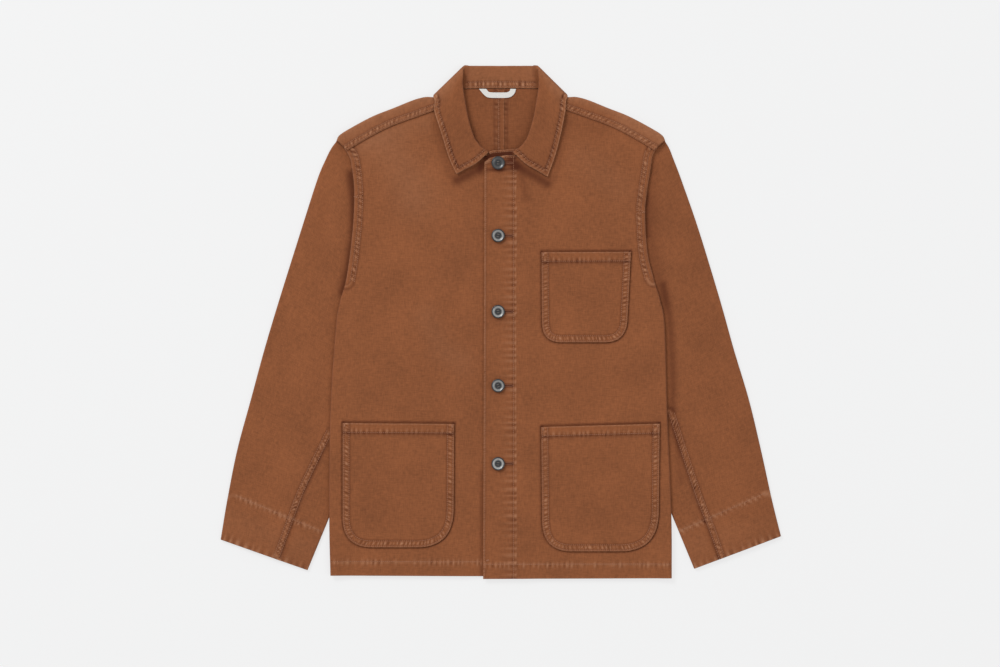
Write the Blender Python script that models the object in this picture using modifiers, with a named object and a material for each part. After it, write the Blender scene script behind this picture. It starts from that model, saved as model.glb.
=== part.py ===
"""Chore jacket, laid flat on its back with the sleeves at its sides.

Blender 4.5. The jacket lies on z = 0 with its front facing +Z, its collar
towards +Y and the wearer's left at +X. Sizes below are in millimetres and are
turned into metres where a mesh is made. "Out" is measured from the centre
front towards a side, "up" from the middle of the jacket towards the collar.
"""

import math

import bmesh
import bpy
from mathutils import Vector

MM = 0.001

# --- cloth ---------------------------------------------------------------
CLOTH = 1.2            # one ply of canvas
PLACKET = 2.4          # doubled cloth: placket and collar
GAP = 0.3              # between pieces that are sewn together
BODY = 5.4             # back to front of the flattened body
SHOULDER = 6.9         # the same where the back's shoulder strip laps the front
LEAF = 3.0             # lift of the back neck over the collar leaf below it
SLEEVE_HIDDEN = 3.6    # flattened sleeve where the body lies on it
SLEEVE_EDGE = 4.8      # sleeve at its outer fold
SLEEVE_CROWN = 1.2     # how far the sleeve swells between its folds
EDGE_CLEAR = 3.0       # it is flat again this far before the body's edge
PACKET = 5.4           # collar stand and leaf folded on each other
BRIDGE = {"fold": 28.0, "top": 50.0}   # how far the back stays up past a sleeve's edge
RAMP = 40.0            # then how far it takes to come down
NECK_RISE = (246, 304) # the back rises between these to lie on the collar leaf
NECK_SIDE = (106, 166) # and comes down again between these, going out

# --- layout --------------------------------------------------------------
ROWS = 15              # rows of cloth from hem to shoulder seam
NECK_COLUMNS = 7       # columns along a front neck, as far as the collar
BACK_COLUMNS = 4       # columns along half the back neck
SLEEVE_ROWS = 13
PLACKET_INNER = 26.0   # the doubled placket ends here, on the wearer's left
LAP_DIP = 1.4          # the right front lies lower under the lap
LAP_LIFT = 1.5         # the left front lies higher on it
LAP_BLEND = {"right": (-60, -32), "left": (32, 58)}   # where they leave the common level

SIGN = {"right": -1.0, "left": 1.0}

# --- outlines: (out, up) -------------------------------------------------
BODY_EDGE = {          # hem, side seam, underarm, front armhole
    "right": ((255.6, -380), (257.3, -289), (255.6, -134), (247.4, -9), (241.7, 29),
              (232.8, 60), (226.4, 101), (221, 153), (220, 201), (224, 236),
              (227, 248), (235.5, 262)),
    "left": ((256.5, -384), (255.8, -289), (249.5, -134), (245.9, -8), (239.3, 32),
             (229.8, 64), (220, 105), (216.5, 160), (218.5, 190), (225, 232),
             (228, 250), (235.5, 263)),
}
SHOULDER_POINT = (246.5, 272)
SHOULDER_FOLD = (SHOULDER_POINT, (242, 280.5), (224, 292), (190, 310), (160, 322),
                 (131, 333.5), (113, 338), (97, 338.5), (88.4, 348.9))
SHOULDER_SHARES = (0, 0.17, 0.34, 0.5, 0.66, 0.81, 0.93, 1)   # columns along a shoulder
SHOULDER_SEAM = ((230, 257.5), (205, 273), (165, 294), (121, 310), (90.5, 321))
SEAM_LAP = 8.0         # the front runs this far under the shoulder strip
FRONT_NECK = ((90.5, 321), (85.8, 307), (77, 284), (63, 263), (46, 252.5), (32, 249.5),
              (20.6, 249.5))
NECK_END = {           # front neck from the collar's end to the opening edge
    "right": ((7, 256), (-10, 260.5), (-26, 261.5)),
    "left": ((8, 250.5), (-9, 247.5), (-24.5, 241)),
}
HEM_FRONT = {"right": (-26, -381.3), "left": (-26.5, -385)}
HEM_BACK = (0.15, -381)            # back hem at the centre seam
BACK_NECK = ((86, 346.5), (70, 349.5), (45, 350.6), (20, 351), (0.15, 351))
SLEEVE_OUTER = {
    "right": (SHOULDER_POINT, (254.6, 261), (263.6, 243), (275.6, 214), (299.6, 139),
              (332.6, 34), (355, -41), (375.3, -116), (395.6, -191), (410.6, -266),
              (420.6, -326)),
    "left": (SHOULDER_POINT, (253, 261), (260, 243), (271, 214), (297, 139),
             (329, 34), (350, -41), (372.5, -116), (390.5, -191), (407, -266),
             (420.6, -321)),
}
SLEEVE_TOP_IN = (121, 68)          # past lines to here the back comes down
SLEEVE_START = (92, 110)           # inner end of the sleeve, hidden under the front
CUFF_IN = {"right": (290, -372), "left": (290.3, -370)}

# --- collar, one half: roll line and free edge, each (out, up) --------------
COLLAR_CORNER = Vector((55.8, 385))    # end of the straight top edge
ROLL = ((56.6, 369, 10.4), (56.6, 354, 10.8), (53, 330, 11.2), (47.3, 301, 11.2),
        (37, 272, 10.4), (25.7, 261, 7.6), (18.6, 257.5, 6.2))   # out, up, height
LEAF_EDGE = {
    "right": ((99.6, 342.5), (99.6, 317), (88.5, 281), (77.6, 246), (66.5, 222)),
    "left": ((98.6, 342.8), (96.5, 315), (90, 282), (81.9, 250.7), (70.2, 218)),
}
LEAF_BACK_UP = 341.0   # free edge of the leaf under the back
FOLD_OUT = Vector((1, 1)).normalized()  # outward, where the collar folds over the shoulder
NECK_TURN = Vector((-1, 0.2)).normalized()  # inward, at the corner of the neck seam
COLLAR_SLIDE = Vector((1, -1, 0)).normalized() * 5.9   # along that fold, on its front side
COLLAR_PINCH = 3.0     # radius of that fold at the roll line
SEAM_CLEAR = 0.4       # the collar's seam edge to the panels' neck edge, in plan
LAP_RISE = 1.6         # the left end of the collar lies on the lap

# --- pockets: (out, up) of the top corners, then depth and corner radii ------
POCKETS = {
    "pocket_chest": dict(side="left", inner=(61, 105), outer=(195, 105.5),
                         bottom=-30, taper=(1, 7), corner=(30, 34)),
    "pocket_lower_right": dict(side="right", inner=(70, -152.5), outer=(237, -151),
                               bottom=-337.5, taper=(1, 0), corner=(58, 46)),
    "pocket_lower_left": dict(side="left", inner=(60.5, -157), outer=(238, -152),
                              bottom=-343.5, taper=(2, 2), corner=(46, 60)),
}

# --- buttons -------------------------------------------------------------
BUTTON_X = -4.0
BUTTON_UPS = (239, 130, 16, -95, -212)
BUTTON_DIAMETER = 20.0
BUTTON_THICK = 3.2
HOLE_DIAMETER = 1.9
HOLE_PITCH = 3.6
SHANK_DIAMETER = 2.4
EYE_DIAMETER = 4.0     # round end of the buttonhole, at the shank
SLIT = (22.0, 1.2)     # buttonhole: length, width

LOOP_OUTLINE = ((-33, 350.3), (-20, 337.2), (10, 337.2), (23, 350.3), (12.5, 350.3),
                (8, 346.5), (-16, 346.5), (-20, 350.3))
LOOP_THICK = 1.0

CLOTH_BROWN = (0.235, 0.085, 0.036, 1.0)
BUTTON_GREY = (0.10, 0.10, 0.105, 1.0)
THREAD_BROWN = (0.16, 0.055, 0.024, 1.0)
TAPE_WHITE = (0.72, 0.70, 0.66, 1.0)


# --- scene and materials ---------------------------------------------------
def clear_scene():
    for item in list(bpy.data.objects):
        bpy.data.objects.remove(item, do_unlink=True)


def new_collection(name):
    group = bpy.data.collections.new(name)
    bpy.context.scene.collection.children.link(group)
    return group


def material(name, colour, roughness, metallic=0.0):
    surface = bpy.data.materials.new(name)
    surface.use_nodes = True
    shader = surface.node_tree.nodes["Principled BSDF"]
    shader.inputs["Base Color"].default_value = colour
    shader.inputs["Roughness"].default_value = roughness
    shader.inputs["Metallic"].default_value = metallic
    surface.diffuse_color = colour
    return surface


# --- curves in the plane -----------------------------------------------------
def smoothstep(low, high, value):
    share = min(1.0, max(0.0, (value - low) / (high - low)))
    return share * share * (3.0 - 2.0 * share)


def through(points, steps=16):
    """A dense Catmull-Rom line through the points."""
    points = [Vector(point) for point in points]
    first = points[0] * 2 - points[1]
    last = points[-1] * 2 - points[-2]
    padded = [first] + points + [last]
    line = []
    for a, b, c, d in zip(padded, padded[1:], padded[2:], padded[3:]):
        for step in range(steps):
            t = step / steps
            line.append(0.5 * (2 * b + (c - a) * t + (2 * a - 5 * b + 4 * c - d) * t ** 2
                               + (3 * b - a - 3 * c + d) * t ** 3))
    line.append(points[-1])
    return line


def at_shares(points, shares):
    """Points at the given shares of the length of the curve through `points`."""
    line = through(points)
    lengths = [0.0]
    for a, b in zip(line, line[1:]):
        lengths.append(lengths[-1] + (b - a).length)
    found = []
    for share in shares:
        target = share * lengths[-1]
        k = 0
        while k < len(line) - 2 and lengths[k + 1] < target:
            k += 1
        t = (target - lengths[k]) / max(1e-9, lengths[k + 1] - lengths[k])
        found.append(line[k].lerp(line[k + 1], t))
    return found


def evenly(points, parts):
    return at_shares(points, [k / parts for k in range(parts + 1)])


def normals(line, towards):
    """Unit normals of a plane line, on the side where `towards` lies."""
    found = []
    for k, point in enumerate(line):
        along = line[min(k + 1, len(line) - 1)] - line[max(k - 1, 0)]
        normal = Vector((-along.y, along.x)).normalized()
        if normal.dot(Vector(towards) - point) < 0:
            normal = -normal
        found.append(normal)
    return found


# --- how high each layer lies --------------------------------------------------
def beyond(point, a, b):
    """Distance of a plane point from the line a-b, positive on its inner side."""
    a, b = Vector(a), Vector(b)
    along = (b - a).normalized()
    inward = Vector((along.y, -along.x))
    if inward.x > 0:
        inward = -inward
    return (Vector(point) - a).dot(inward)


def back_level(point):
    """Underside of the back: on the surface, or over a sleeve or the collar leaf."""
    out, up = abs(point[0]), point[1]
    off_fold = beyond((out, up), SLEEVE_TOP_IN, CUFF_IN["left"])
    off_top = beyond((out, up), SHOULDER_POINT, SLEEVE_TOP_IN)
    away = max(off_fold - BRIDGE["fold"], off_top - BRIDGE["top"])
    sleeve = 1.0 - smoothstep(0, RAMP, away)
    leaf = smoothstep(*NECK_RISE, up) * (1.0 - smoothstep(*NECK_SIDE, out))
    return max((SLEEVE_HIDDEN + GAP) * sleeve, LEAF * leaf)


def front_level(point, side=None):
    """Outer face of a front. The right one dips under the lap, the left rises."""
    level = back_level(point) + BODY
    if side == "right":
        level -= LAP_DIP * smoothstep(*LAP_BLEND[side], point[0])
    if side == "left":
        level += LAP_LIFT * (1.0 - smoothstep(*LAP_BLEND[side], point[0]))
    return level


# --- meshes ----------------------------------------------------------------
def placed(side, point, height):
    return Vector((SIGN[side] * point[0], point[1], height))


def add_object(name, mesh, surface, group):
    mesh.materials.append(surface)
    body = bpy.data.objects.new(name, mesh)
    group.objects.link(body)
    return body


def sheet(name, grid, outside_up, surface, group, thickness, doubled=None, ring=False,
          even=True):
    """An open cloth surface from rows of points, made thick towards its inside.

    A row may hold None where the piece ends early. `doubled` says where the
    cloth is two plies, and `ring` joins each row's end to its start.
    """
    work = bmesh.new()
    made = [[None if p is None else work.verts.new(p * MM) for p in row] for row in grid]
    for low, high in zip(made, made[1:]):
        columns = range(len(low) if ring else len(low) - 1)
        for k in columns:
            n = (k + 1) % len(low)
            corners = [low[k], low[n], high[n], high[k]]
            if None not in corners:
                work.faces.new(corners)
    work.normal_update()
    rise = sum(face.normal.z * face.calc_area() for face in work.faces)
    if ring:
        rise = sum((face.calc_center_median().z - SLEEVE_EDGE / 2 * MM) * face.normal.z
                   for face in work.faces)
    if (rise > 0) != outside_up:
        bmesh.ops.reverse_faces(work, faces=work.faces)
    bmesh.ops.triangulate(work, faces=work.faces)
    mesh = bpy.data.meshes.new(name)
    work.to_mesh(mesh)
    work.free()
    body = add_object(name, mesh, surface, group)
    wall = body.modifiers.new("cloth", "SOLIDIFY")
    wall.thickness = thickness * MM
    wall.offset = -1.0
    wall.use_even_offset = even
    if doubled:
        plies = body.vertex_groups.new(name="doubled")
        for vertex in mesh.vertices:
            share = 1.0 if doubled(vertex.co / MM) else CLOTH / thickness
            plies.add([vertex.index], share, "REPLACE")
        wall.vertex_group = "doubled"
    return body


def body_edge(side):
    """Outline of the body from the hem to the shoulder seam, the same for both panels."""
    return evenly(BODY_EDGE[side], ROWS)


def seam_and_lap():
    """Shoulder seam, and the front's edge that runs on under the strip."""
    seam = at_shares(SHOULDER_SEAM, SHOULDER_SHARES)
    fold = at_shares(SHOULDER_FOLD, SHOULDER_SHARES)
    lap = []
    for k, (low, high) in enumerate(zip(seam, fold)):
        run = SEAM_LAP if k else SEAM_LAP * 0.6
        lap.append(low + (high - low).normalized() * run)
    return seam, lap


def patch(left, right, bottom, top):
    """A grid of plane points between four sides (a Coons patch)."""
    rows = len(left) - 1
    span = top[-1].x - top[0].x
    grid = []
    for j in range(rows + 1):
        v = j / rows
        row = []
        for i, above in enumerate(top):
            u = (above.x - top[0].x) / span
            blend = (1 - v) * bottom[i] + v * above + (1 - u) * left[j] + u * right[j]
            corners = ((1 - u) * (1 - v) * bottom[0] + u * (1 - v) * bottom[-1]
                       + (1 - u) * v * top[0] + u * v * top[-1])
            row.append(blend - corners)
        grid.append(row)
    return grid


def across(start, end, top):
    """Hem points under each point of the top edge."""
    span = top[-1].x - top[0].x
    return [Vector(start).lerp(Vector(end), (p.x - top[0].x) / span) for p in top]


def side_roll(side, angles, centre_over):
    """Columns of the rounded side edge, one list for each row."""
    edge = body_edge(side)
    inward = normals(edge, (0, 0))
    radius = BODY / 2
    rows = []
    for point, normal in zip(edge, inward):
        axis = point + normal * radius
        middle = centre_over(axis) + radius
        rows.append([placed(side, axis - normal * radius * math.cos(angle),
                            middle + radius * math.sin(angle)) for angle in angles])
    return rows


def inner_edge(side):
    edge = body_edge(side)
    inward = normals(edge, (0, 0))
    return [point + normal * BODY / 2 for point, normal in zip(edge, inward)]


def front_panel(side, surface, group):
    seam, lap = seam_and_lap()
    left = inner_edge(side)
    seam[0] = left[-1].copy()
    neck = evenly(FRONT_NECK, NECK_COLUMNS) + [Vector(p) for p in NECK_END[side]]
    top = seam + neck[1:]
    corner = Vector(HEM_FRONT[side])
    right = [corner.lerp(top[-1], j / ROWS) for j in range(ROWS + 1)]
    plan = patch(left, right, across(left[0], corner, top), top)
    angles = [math.radians(a) for a in (-23, -19, 5, 35, 65)]
    roll = side_roll(side, angles, back_level)
    grid = []
    for row, edge in zip(plan, roll):
        flat = [placed(side, p, front_level((SIGN[side] * p.x, p.y), side)) for p in row]
        grid.append(edge + flat)
    under = [placed(side, p, front_level(p)) for p in lap[1:]]
    blank = [None] * (len(roll[0]) + 1)
    grid.append(blank + under + [None] * (len(neck) - 1))
    name = "front_" + side
    if side == "left":
        return sheet(name, grid, True, surface, group, PLACKET,
                     doubled=lambda p: p.x < PLACKET_INNER)
    return sheet(name, grid, True, surface, group, CLOTH)


def back_panel(side, surface, group):
    seam, lap = seam_and_lap()
    fold = at_shares(SHOULDER_FOLD, SHOULDER_SHARES)
    inward = normals(fold, (0, 0))
    inward[-1] = -FOLD_OUT
    radius = SHOULDER / 2
    axis = [point + normal * radius for point, normal in zip(fold, inward)]
    left = inner_edge(side)
    left.append(axis[0])
    neck = evenly(BACK_NECK, BACK_COLUMNS)
    axis[-1] = neck[0].copy()
    top = axis + neck[1:]
    hem = Vector(HEM_BACK)
    right = [hem.lerp(neck[-1], j / (ROWS + 1)) for j in range(ROWS + 2)]
    plan = patch(left, right, across(left[0], right[0], top), top)
    angles = [math.radians(a) for a in (-35, -39, -64)]
    roll = side_roll(side, angles, back_level)
    tip = axis[0].lerp(Vector(SHOULDER_POINT), 0.4)
    tip_rise = (1.0, 0.8, 0.2)
    roll.append([placed(side, tip.lerp(axis[0], k / 4), back_level(tip) + rise)
                 for k, rise in enumerate(tip_rise)])
    grid = []
    for row, edge in zip(plan, roll):
        flat = [placed(side, p, back_level(p)) for p in row]
        grid.append(edge + flat)
    # over the shoulder, then down the front to the forward seam
    blank = [None] * len(roll[0])
    rest = [None] * (len(neck) - 1)
    for angle in (-45, 0, 45, 90):
        turn = math.radians(angle)
        row = []
        for p, normal in zip(axis, inward):
            reach = p - normal * radius * math.cos(turn)
            row.append(placed(side, reach, back_level(p) + radius * (1 + math.sin(turn))))
        grid.append(blank + row + rest)
    for line in (lap, seam):
        row = [placed(side, p, front_level(p) + GAP + CLOTH) for p in line]
        grid.append(blank + row + rest)
    return sheet("back_" + side, grid, False, surface, group, CLOTH)


# --- sleeves -----------------------------------------------------------------
def crossing(a, b, line):
    """Share of the way from a to b where it meets the body's edge, or 1."""
    for p, q in zip(line, line[1:]):
        along, other, apart = b - a, q - p, p - a
        size = along.x * other.y - along.y * other.x
        if abs(size) < 1e-9:
            continue
        t = (apart.x * other.y - apart.y * other.x) / size
        s = (apart.x * along.y - apart.y * along.x) / size
        if 0 <= t <= 1 and 0 <= s <= 1:
            return t
    return 1.0


def sleeve_ring(side, outer, inner, edge):
    """One flattened ring: outer fold, crown, hidden strip, inner fold, underside."""
    along = (inner - outer).normalized()
    width = (inner - outer).length
    shown = crossing(outer, inner, edge) * width - EDGE_CLEAR
    bare = smoothstep(4, 24, inner.x - BODY_EDGE[side][1][0])
    more = SLEEVE_EDGE - SLEEVE_HIDDEN
    r_in = (SLEEVE_HIDDEN + more * bare) / 2
    r_out = (SLEEVE_HIDDEN + more * smoothstep(8, 60, shown)) / 2
    shown = min(max(shown, 2 * r_out + 2), width - r_in - 2 * EDGE_CLEAR)
    swell = SLEEVE_CROWN * smoothstep(10, 70, shown)
    ring = []
    for angle in (-90, -45, 0, 45, 90):
        turn = math.radians(angle)
        ring.append((r_out * (1 - math.cos(turn)), r_out * (1 + math.sin(turn))))
    for share in (0.15, 0.35, 0.6, 0.85, 1.0):
        level = 2 * r_out + (2 * r_in - 2 * r_out) * share
        ring.append((r_out + (shown - r_out) * share,
                     level + swell * math.sin(math.pi * share)))
    for angle in (90, 45, 0, -45, -90):
        turn = math.radians(angle)
        ring.append((width - r_in * (1 - math.cos(turn)), r_in * (1 + math.sin(turn))))
    for share in (0.3, 0.65):
        ring.append((width - r_in + (r_in + r_out - width) * share, 0.0))
    return [placed(side, outer + along * reach, height) for reach, height in ring]


def sleeve(side, surface, group):
    edge = through(BODY_EDGE[side])
    outer = evenly(SLEEVE_OUTER[side], SLEEVE_ROWS)
    inner = [Vector(SLEEVE_START).lerp(Vector(CUFF_IN[side]), (k / SLEEVE_ROWS) ** 1.15)
             for k in range(SLEEVE_ROWS + 1)]
    rings = [sleeve_ring(side, o, i, edge) for o, i in zip(outer, inner)]
    return sheet("sleeve_" + side, rings, True, surface, group, CLOTH, ring=True)


# --- collar ------------------------------------------------------------------
def collar_section(roll, seam, edge, facing):
    """Points from the neck seam round the roll line to the leaf's free edge.

    The three given points lie midway between stand and leaf, and `facing` is
    the direction from the leaf to the stand.
    """
    half = PACKET / 2
    tip = ((roll - seam).normalized() + (roll - edge).normalized()).normalized()
    centre = roll - tip * half
    points = [seam.lerp(centre, share) + facing * half for share in (0.0, 0.35, 0.7)]
    for angle in (90, 45, 0, -45, -90):
        turn = math.radians(angle)
        points.append(centre + half * (tip * math.cos(turn) + facing * math.sin(turn)))
    points += [centre.lerp(edge, share) - facing * half for share in (0.35, 0.7, 1.0)]
    return points


def collar_half(side):
    """Sections of one half, from the centre back round to the front end."""
    up = Vector((0, 0, 1))
    low, middle = LEAF - GAP, LEAF + SHOULDER / 2
    high = 2 * middle - low
    neck = evenly(BACK_NECK, BACK_COLUMNS)
    fold_roll = (COLLAR_CORNER - FOLD_OUT * (COLLAR_PINCH + PACKET / 2)).to_3d()
    fold_edge = (Vector(LEAF_EDGE[side][0]) - FOLD_OUT * (middle - low + PACKET / 2)).to_3d()
    fold_seam = (neck[0] + NECK_TURN * 2 * SEAM_CLEAR).to_3d()
    sections = []

    # under the back: the stand looks up and the leaf lies below it
    low_roll = fold_roll - COLLAR_SLIDE + up * (middle - COLLAR_PINCH)
    for k in range(BACK_COLUMNS, -1, -1):
        share = 1 - k / BACK_COLUMNS
        roll = Vector((0, COLLAR_CORNER.y, low)).lerp(low_roll, share)
        seam = Vector((neck[k].x * (k < BACK_COLUMNS), neck[k].y + SEAM_CLEAR, low))
        if k == 0:
            seam = fold_seam + up * low
        low_edge = fold_edge - COLLAR_SLIDE + up * low
        edge = Vector((0, LEAF_BACK_UP, low)).lerp(low_edge, share)
        sections.append(collar_section(roll, seam, edge, up))

    # round the shoulder: the pair of plies turns over, the leaf outermost
    for angle in (-45, 0, 45):
        turn = math.radians(angle)
        reach = (FOLD_OUT * math.cos(turn)).to_3d() + up * math.sin(turn)
        slide = COLLAR_SLIDE * math.sin(turn)
        roll = fold_roll + up * middle + reach * COLLAR_PINCH + slide
        seam = fold_seam + up * middle + reach * (middle - low)
        edge = fold_edge + up * middle + reach * (middle - low) + slide
        sections.append(collar_section(roll, seam, edge, -reach))

    # down the front: the leaf looks up over the stand
    seam, lap = seam_and_lap()
    path = [neck[0], lap[-1]] + evenly(FRONT_NECK, NECK_COLUMNS)
    lengths = [0.0]
    for a, b in zip(path, path[1:]):
        lengths.append(lengths[-1] + (b - a).length)
    shares = [length / lengths[-1] for length in lengths]
    start = fold_roll + up * (middle + COLLAR_PINCH) + COLLAR_SLIDE
    fold_edge = fold_edge + COLLAR_SLIDE
    rolls = at_shares([start] + [Vector(p) for p in ROLL], shares)
    edges = at_shares([fold_edge.to_2d()] + [Vector(p) for p in LEAF_EDGE[side][1:]], shares)
    inward = normals(path, (0, 290))
    for k, share in enumerate(shares):
        strip = GAP + CLOTH if path[k].y > SHOULDER_SEAM[-1][1] - 1 else 0.0
        clear = GAP + 0.8 * smoothstep(0, 0.3, share)
        at = path[k] + inward[k] * (SEAM_CLEAR + 0.8 * smoothstep(0.6, 1, share))
        level = front_level((SIGN[side] * at.x, at.y), side) + strip
        seam = Vector((at.x, at.y, level + clear))
        edge_strip = (GAP + CLOTH) * (1 - smoothstep(0.15, 0.5, share))
        level = front_level((SIGN[side] * edges[k].x, edges[k].y), side) + edge_strip
        edge = Vector((edges[k].x, edges[k].y, level + clear))
        roll = rolls[k] + up * (LAP_RISE * share ** 2 if side == "left" else 0)
        if k == 0:
            seam, edge = fold_seam + up * high, fold_edge + up * high
        sections.append(collar_section(roll, seam, edge, -up))
    return [[placed(side, p, p.z) for p in section] for section in sections]


def collar(surface, group):
    right, left = collar_half("right"), collar_half("left")
    return sheet("collar", right[:0:-1] + left, True, surface, group, PLACKET, even=False)


# --- pockets -----------------------------------------------------------------
def prism(name, outline, low, high, group, cutter=False):
    """A closed solid of a plane outline, from `low` to `high`."""
    work = bmesh.new()
    face = work.faces.new([work.verts.new(Vector((x, y, low)) * MM) for x, y in outline])
    lifted = bmesh.ops.extrude_face_region(work, geom=[face])["geom"]
    for vertex in lifted:
        if isinstance(vertex, bmesh.types.BMVert):
            vertex.co.z = high * MM
    bmesh.ops.recalc_face_normals(work, faces=work.faces)
    mesh = bpy.data.meshes.new(name)
    work.to_mesh(mesh)
    work.free()
    body = bpy.data.objects.new(name, mesh)
    group.objects.link(body)
    if cutter:
        body.hide_render = True
        body.display_type = "WIRE"
    return body


def pocket_outline(size, steps=6):
    """Top edge, tapering sides and two rounded bottom corners."""
    (ix, iy), (ox, oy) = size["inner"], size["outer"]
    taper_in, taper_out = size["taper"]
    corner_in, corner_out = size["corner"]
    bottom = size["bottom"]
    points = [Vector((ix, iy)), Vector((ox, oy))]
    turns = ((Vector((ox, oy)), Vector((ox - taper_out, bottom)), corner_out, True),
             (Vector((ix, iy)), Vector((ix + taper_in, bottom)), corner_in, False))
    for top, corner, reach, outer in turns:
        side_point = corner + (top - corner).normalized() * reach
        floor_point = corner + Vector((-reach if outer else reach, 0)) * 0.95
        ends = (side_point, floor_point) if outer else (floor_point, side_point)
        for k in range(steps + 1):
            t = k / steps
            points.append((1 - t) ** 2 * ends[0] + 2 * t * (1 - t) * corner
                          + t * t * ends[1])
    sign = SIGN[size["side"]]
    return [(sign * p.x, p.y) for p in points]


def pocket(name, size, panel, surface, group, cutters):
    """A patch: the front's own points moved out, kept inside the outline."""
    mesh = panel.data.copy()
    mesh.name = name
    for vertex in mesh.vertices:
        vertex.co.z += (GAP + CLOTH) * MM
    mesh.materials.clear()
    body = add_object(name, mesh, surface, group)
    wall = body.modifiers.new("cloth", "SOLIDIFY")
    wall.thickness = CLOTH * MM
    wall.offset = -1.0
    wall.use_even_offset = True
    outline = pocket_outline(size)
    cutter = prism(name + "_outline", outline, 0, 4 * BODY, cutters, cutter=True)
    cut = body.modifiers.new("outline", "BOOLEAN")
    cut.operation = "INTERSECT"
    cut.object = cutter
    return body


# --- buttons -----------------------------------------------------------------
def buttonhole(panel, name, up, cutters):
    """A slit with a round eye at the shank, cut through the placket."""
    radius, (length, width) = EYE_DIAMETER / 2, SLIT
    first = math.asin(width / 2 / radius)
    eye = []
    for k in range(13):
        turn = first + (2 * math.pi - 2 * first) * k / 12
        eye.append((BUTTON_X + radius * math.cos(turn), up + radius * math.sin(turn)))
    far = BUTTON_X + length
    outline = eye + [(far, up - width / 2), (far, up + width / 2)]
    cutter = prism(name, outline, BODY / 2, 2 * BODY, cutters, cutter=True)
    cut = panel.modifiers.new(name, "BOOLEAN")
    cut.operation = "DIFFERENCE"
    cut.object = cutter


def button(name, up, base, surface, group, cutters):
    """A turned button: raised rim, dished face, four holes."""
    r, thick = BUTTON_DIAMETER / 2, BUTTON_THICK
    profile = ((0.0, 1.9), (5.0, 1.9), (6.8, 2.9), (8.2, thick), (r, 2.2), (9.6, 0.6),
               (8.4, 0.0), (0.0, 0.0))
    mesh = bpy.data.meshes.new(name)
    work = bmesh.new()
    rim = [work.verts.new(Vector((x, 0, z)) * MM) for x, z in profile]
    for a, b in zip(rim, rim[1:]):
        work.edges.new((a, b))
    work.to_mesh(mesh)
    work.free()
    body = add_object(name, mesh, surface, group)
    body.location = Vector((BUTTON_X, up, base)) * MM
    screw = body.modifiers.new("turned", "SCREW")
    screw.angle = 2 * math.pi
    screw.steps = 20
    screw.render_steps = 20
    screw.use_merge_vertices = True
    screw.merge_threshold = 0.00001
    reach = HOLE_PITCH / 2
    for k, (dx, dy) in enumerate(((-1, -1), (-1, 1), (1, -1), (1, 1))):
        bpy.ops.mesh.primitive_cylinder_add(
            vertices=8, radius=HOLE_DIAMETER / 2 * MM, depth=3 * thick * MM,
            location=Vector((BUTTON_X + dx * reach, up + dy * reach, base)) * MM)
        cutter = bpy.context.object
        move_to(cutter, cutters)
        cutter.name = f"{name}_hole_{k + 1}"
        cutter.hide_render = True
        cutter.display_type = "WIRE"
        cut = body.modifiers.new(cutter.name, "BOOLEAN")
        cut.operation = "DIFFERENCE"
        cut.object = cutter
    return body


def move_to(body, group):
    for owner in list(body.users_collection):
        owner.objects.unlink(body)
    group.objects.link(body)


def shank(name, up, low, high, surface, group):
    bpy.ops.mesh.primitive_cylinder_add(
        vertices=12, radius=SHANK_DIAMETER / 2 * MM, depth=(high - low) * MM,
        location=Vector((BUTTON_X, up, (low + high) / 2)) * MM)
    body = bpy.context.object
    body.name = name
    body.data.materials.append(surface)
    move_to(body, group)


def fastenings(panel, horn, thread, group, cutters):
    for k, up in enumerate(BUTTON_UPS, start=1):
        under = front_level((BUTTON_X, up), "right") + GAP
        over = front_level((BUTTON_X, up), "left") + 2 * GAP
        buttonhole(panel, f"buttonhole_{k}", up, cutters)
        button(f"button_{k}", up, over, horn, group, cutters)
        shank(f"thread_shank_{k}", up, under, over - GAP, thread, group)


def hanger_loop(surface, group):
    """Flat tape, its ends at the neck seam and mitred at its two corners."""
    base = LEAF + CLOTH + GAP
    body = prism("hanger_loop", list(LOOP_OUTLINE), base, base + LOOP_THICK, group)
    body.data.materials.append(surface)


def main():
    clear_scene()
    group = new_collection("chore_jacket")
    cutters = new_collection("cutters")
    canvas = material("canvas", CLOTH_BROWN, 0.85)
    horn = material("button", BUTTON_GREY, 0.35)
    thread = material("thread", THREAD_BROWN, 0.7)
    tape = material("tape", TAPE_WHITE, 0.8)
    fronts = {}
    for side in SIGN:
        back_panel(side, canvas, group)
        fronts[side] = front_panel(side, canvas, group)
        sleeve(side, canvas, group)
    collar(canvas, group)
    for name, size in POCKETS.items():
        pocket(name, size, fronts[size["side"]], canvas, group, cutters)
    fastenings(fronts["left"], horn, thread, group, cutters)
    hanger_loop(tape, group)


main()
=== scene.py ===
# %% [markdown]
# # A chore jacket, laid flat
#
# The jacket is heavy washed canvas, sewn from flat panels: two fronts, two backs,
# two sleeves, a collar and three patch pockets, closed with five buttons. Each panel
# is remade here as a fine shell of cloth on the frame's form, so that seams, puckers
# and soft creases are real shapes. Lengths are in millimetres until a mesh is made.

# %% Load the frame
import math

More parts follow.
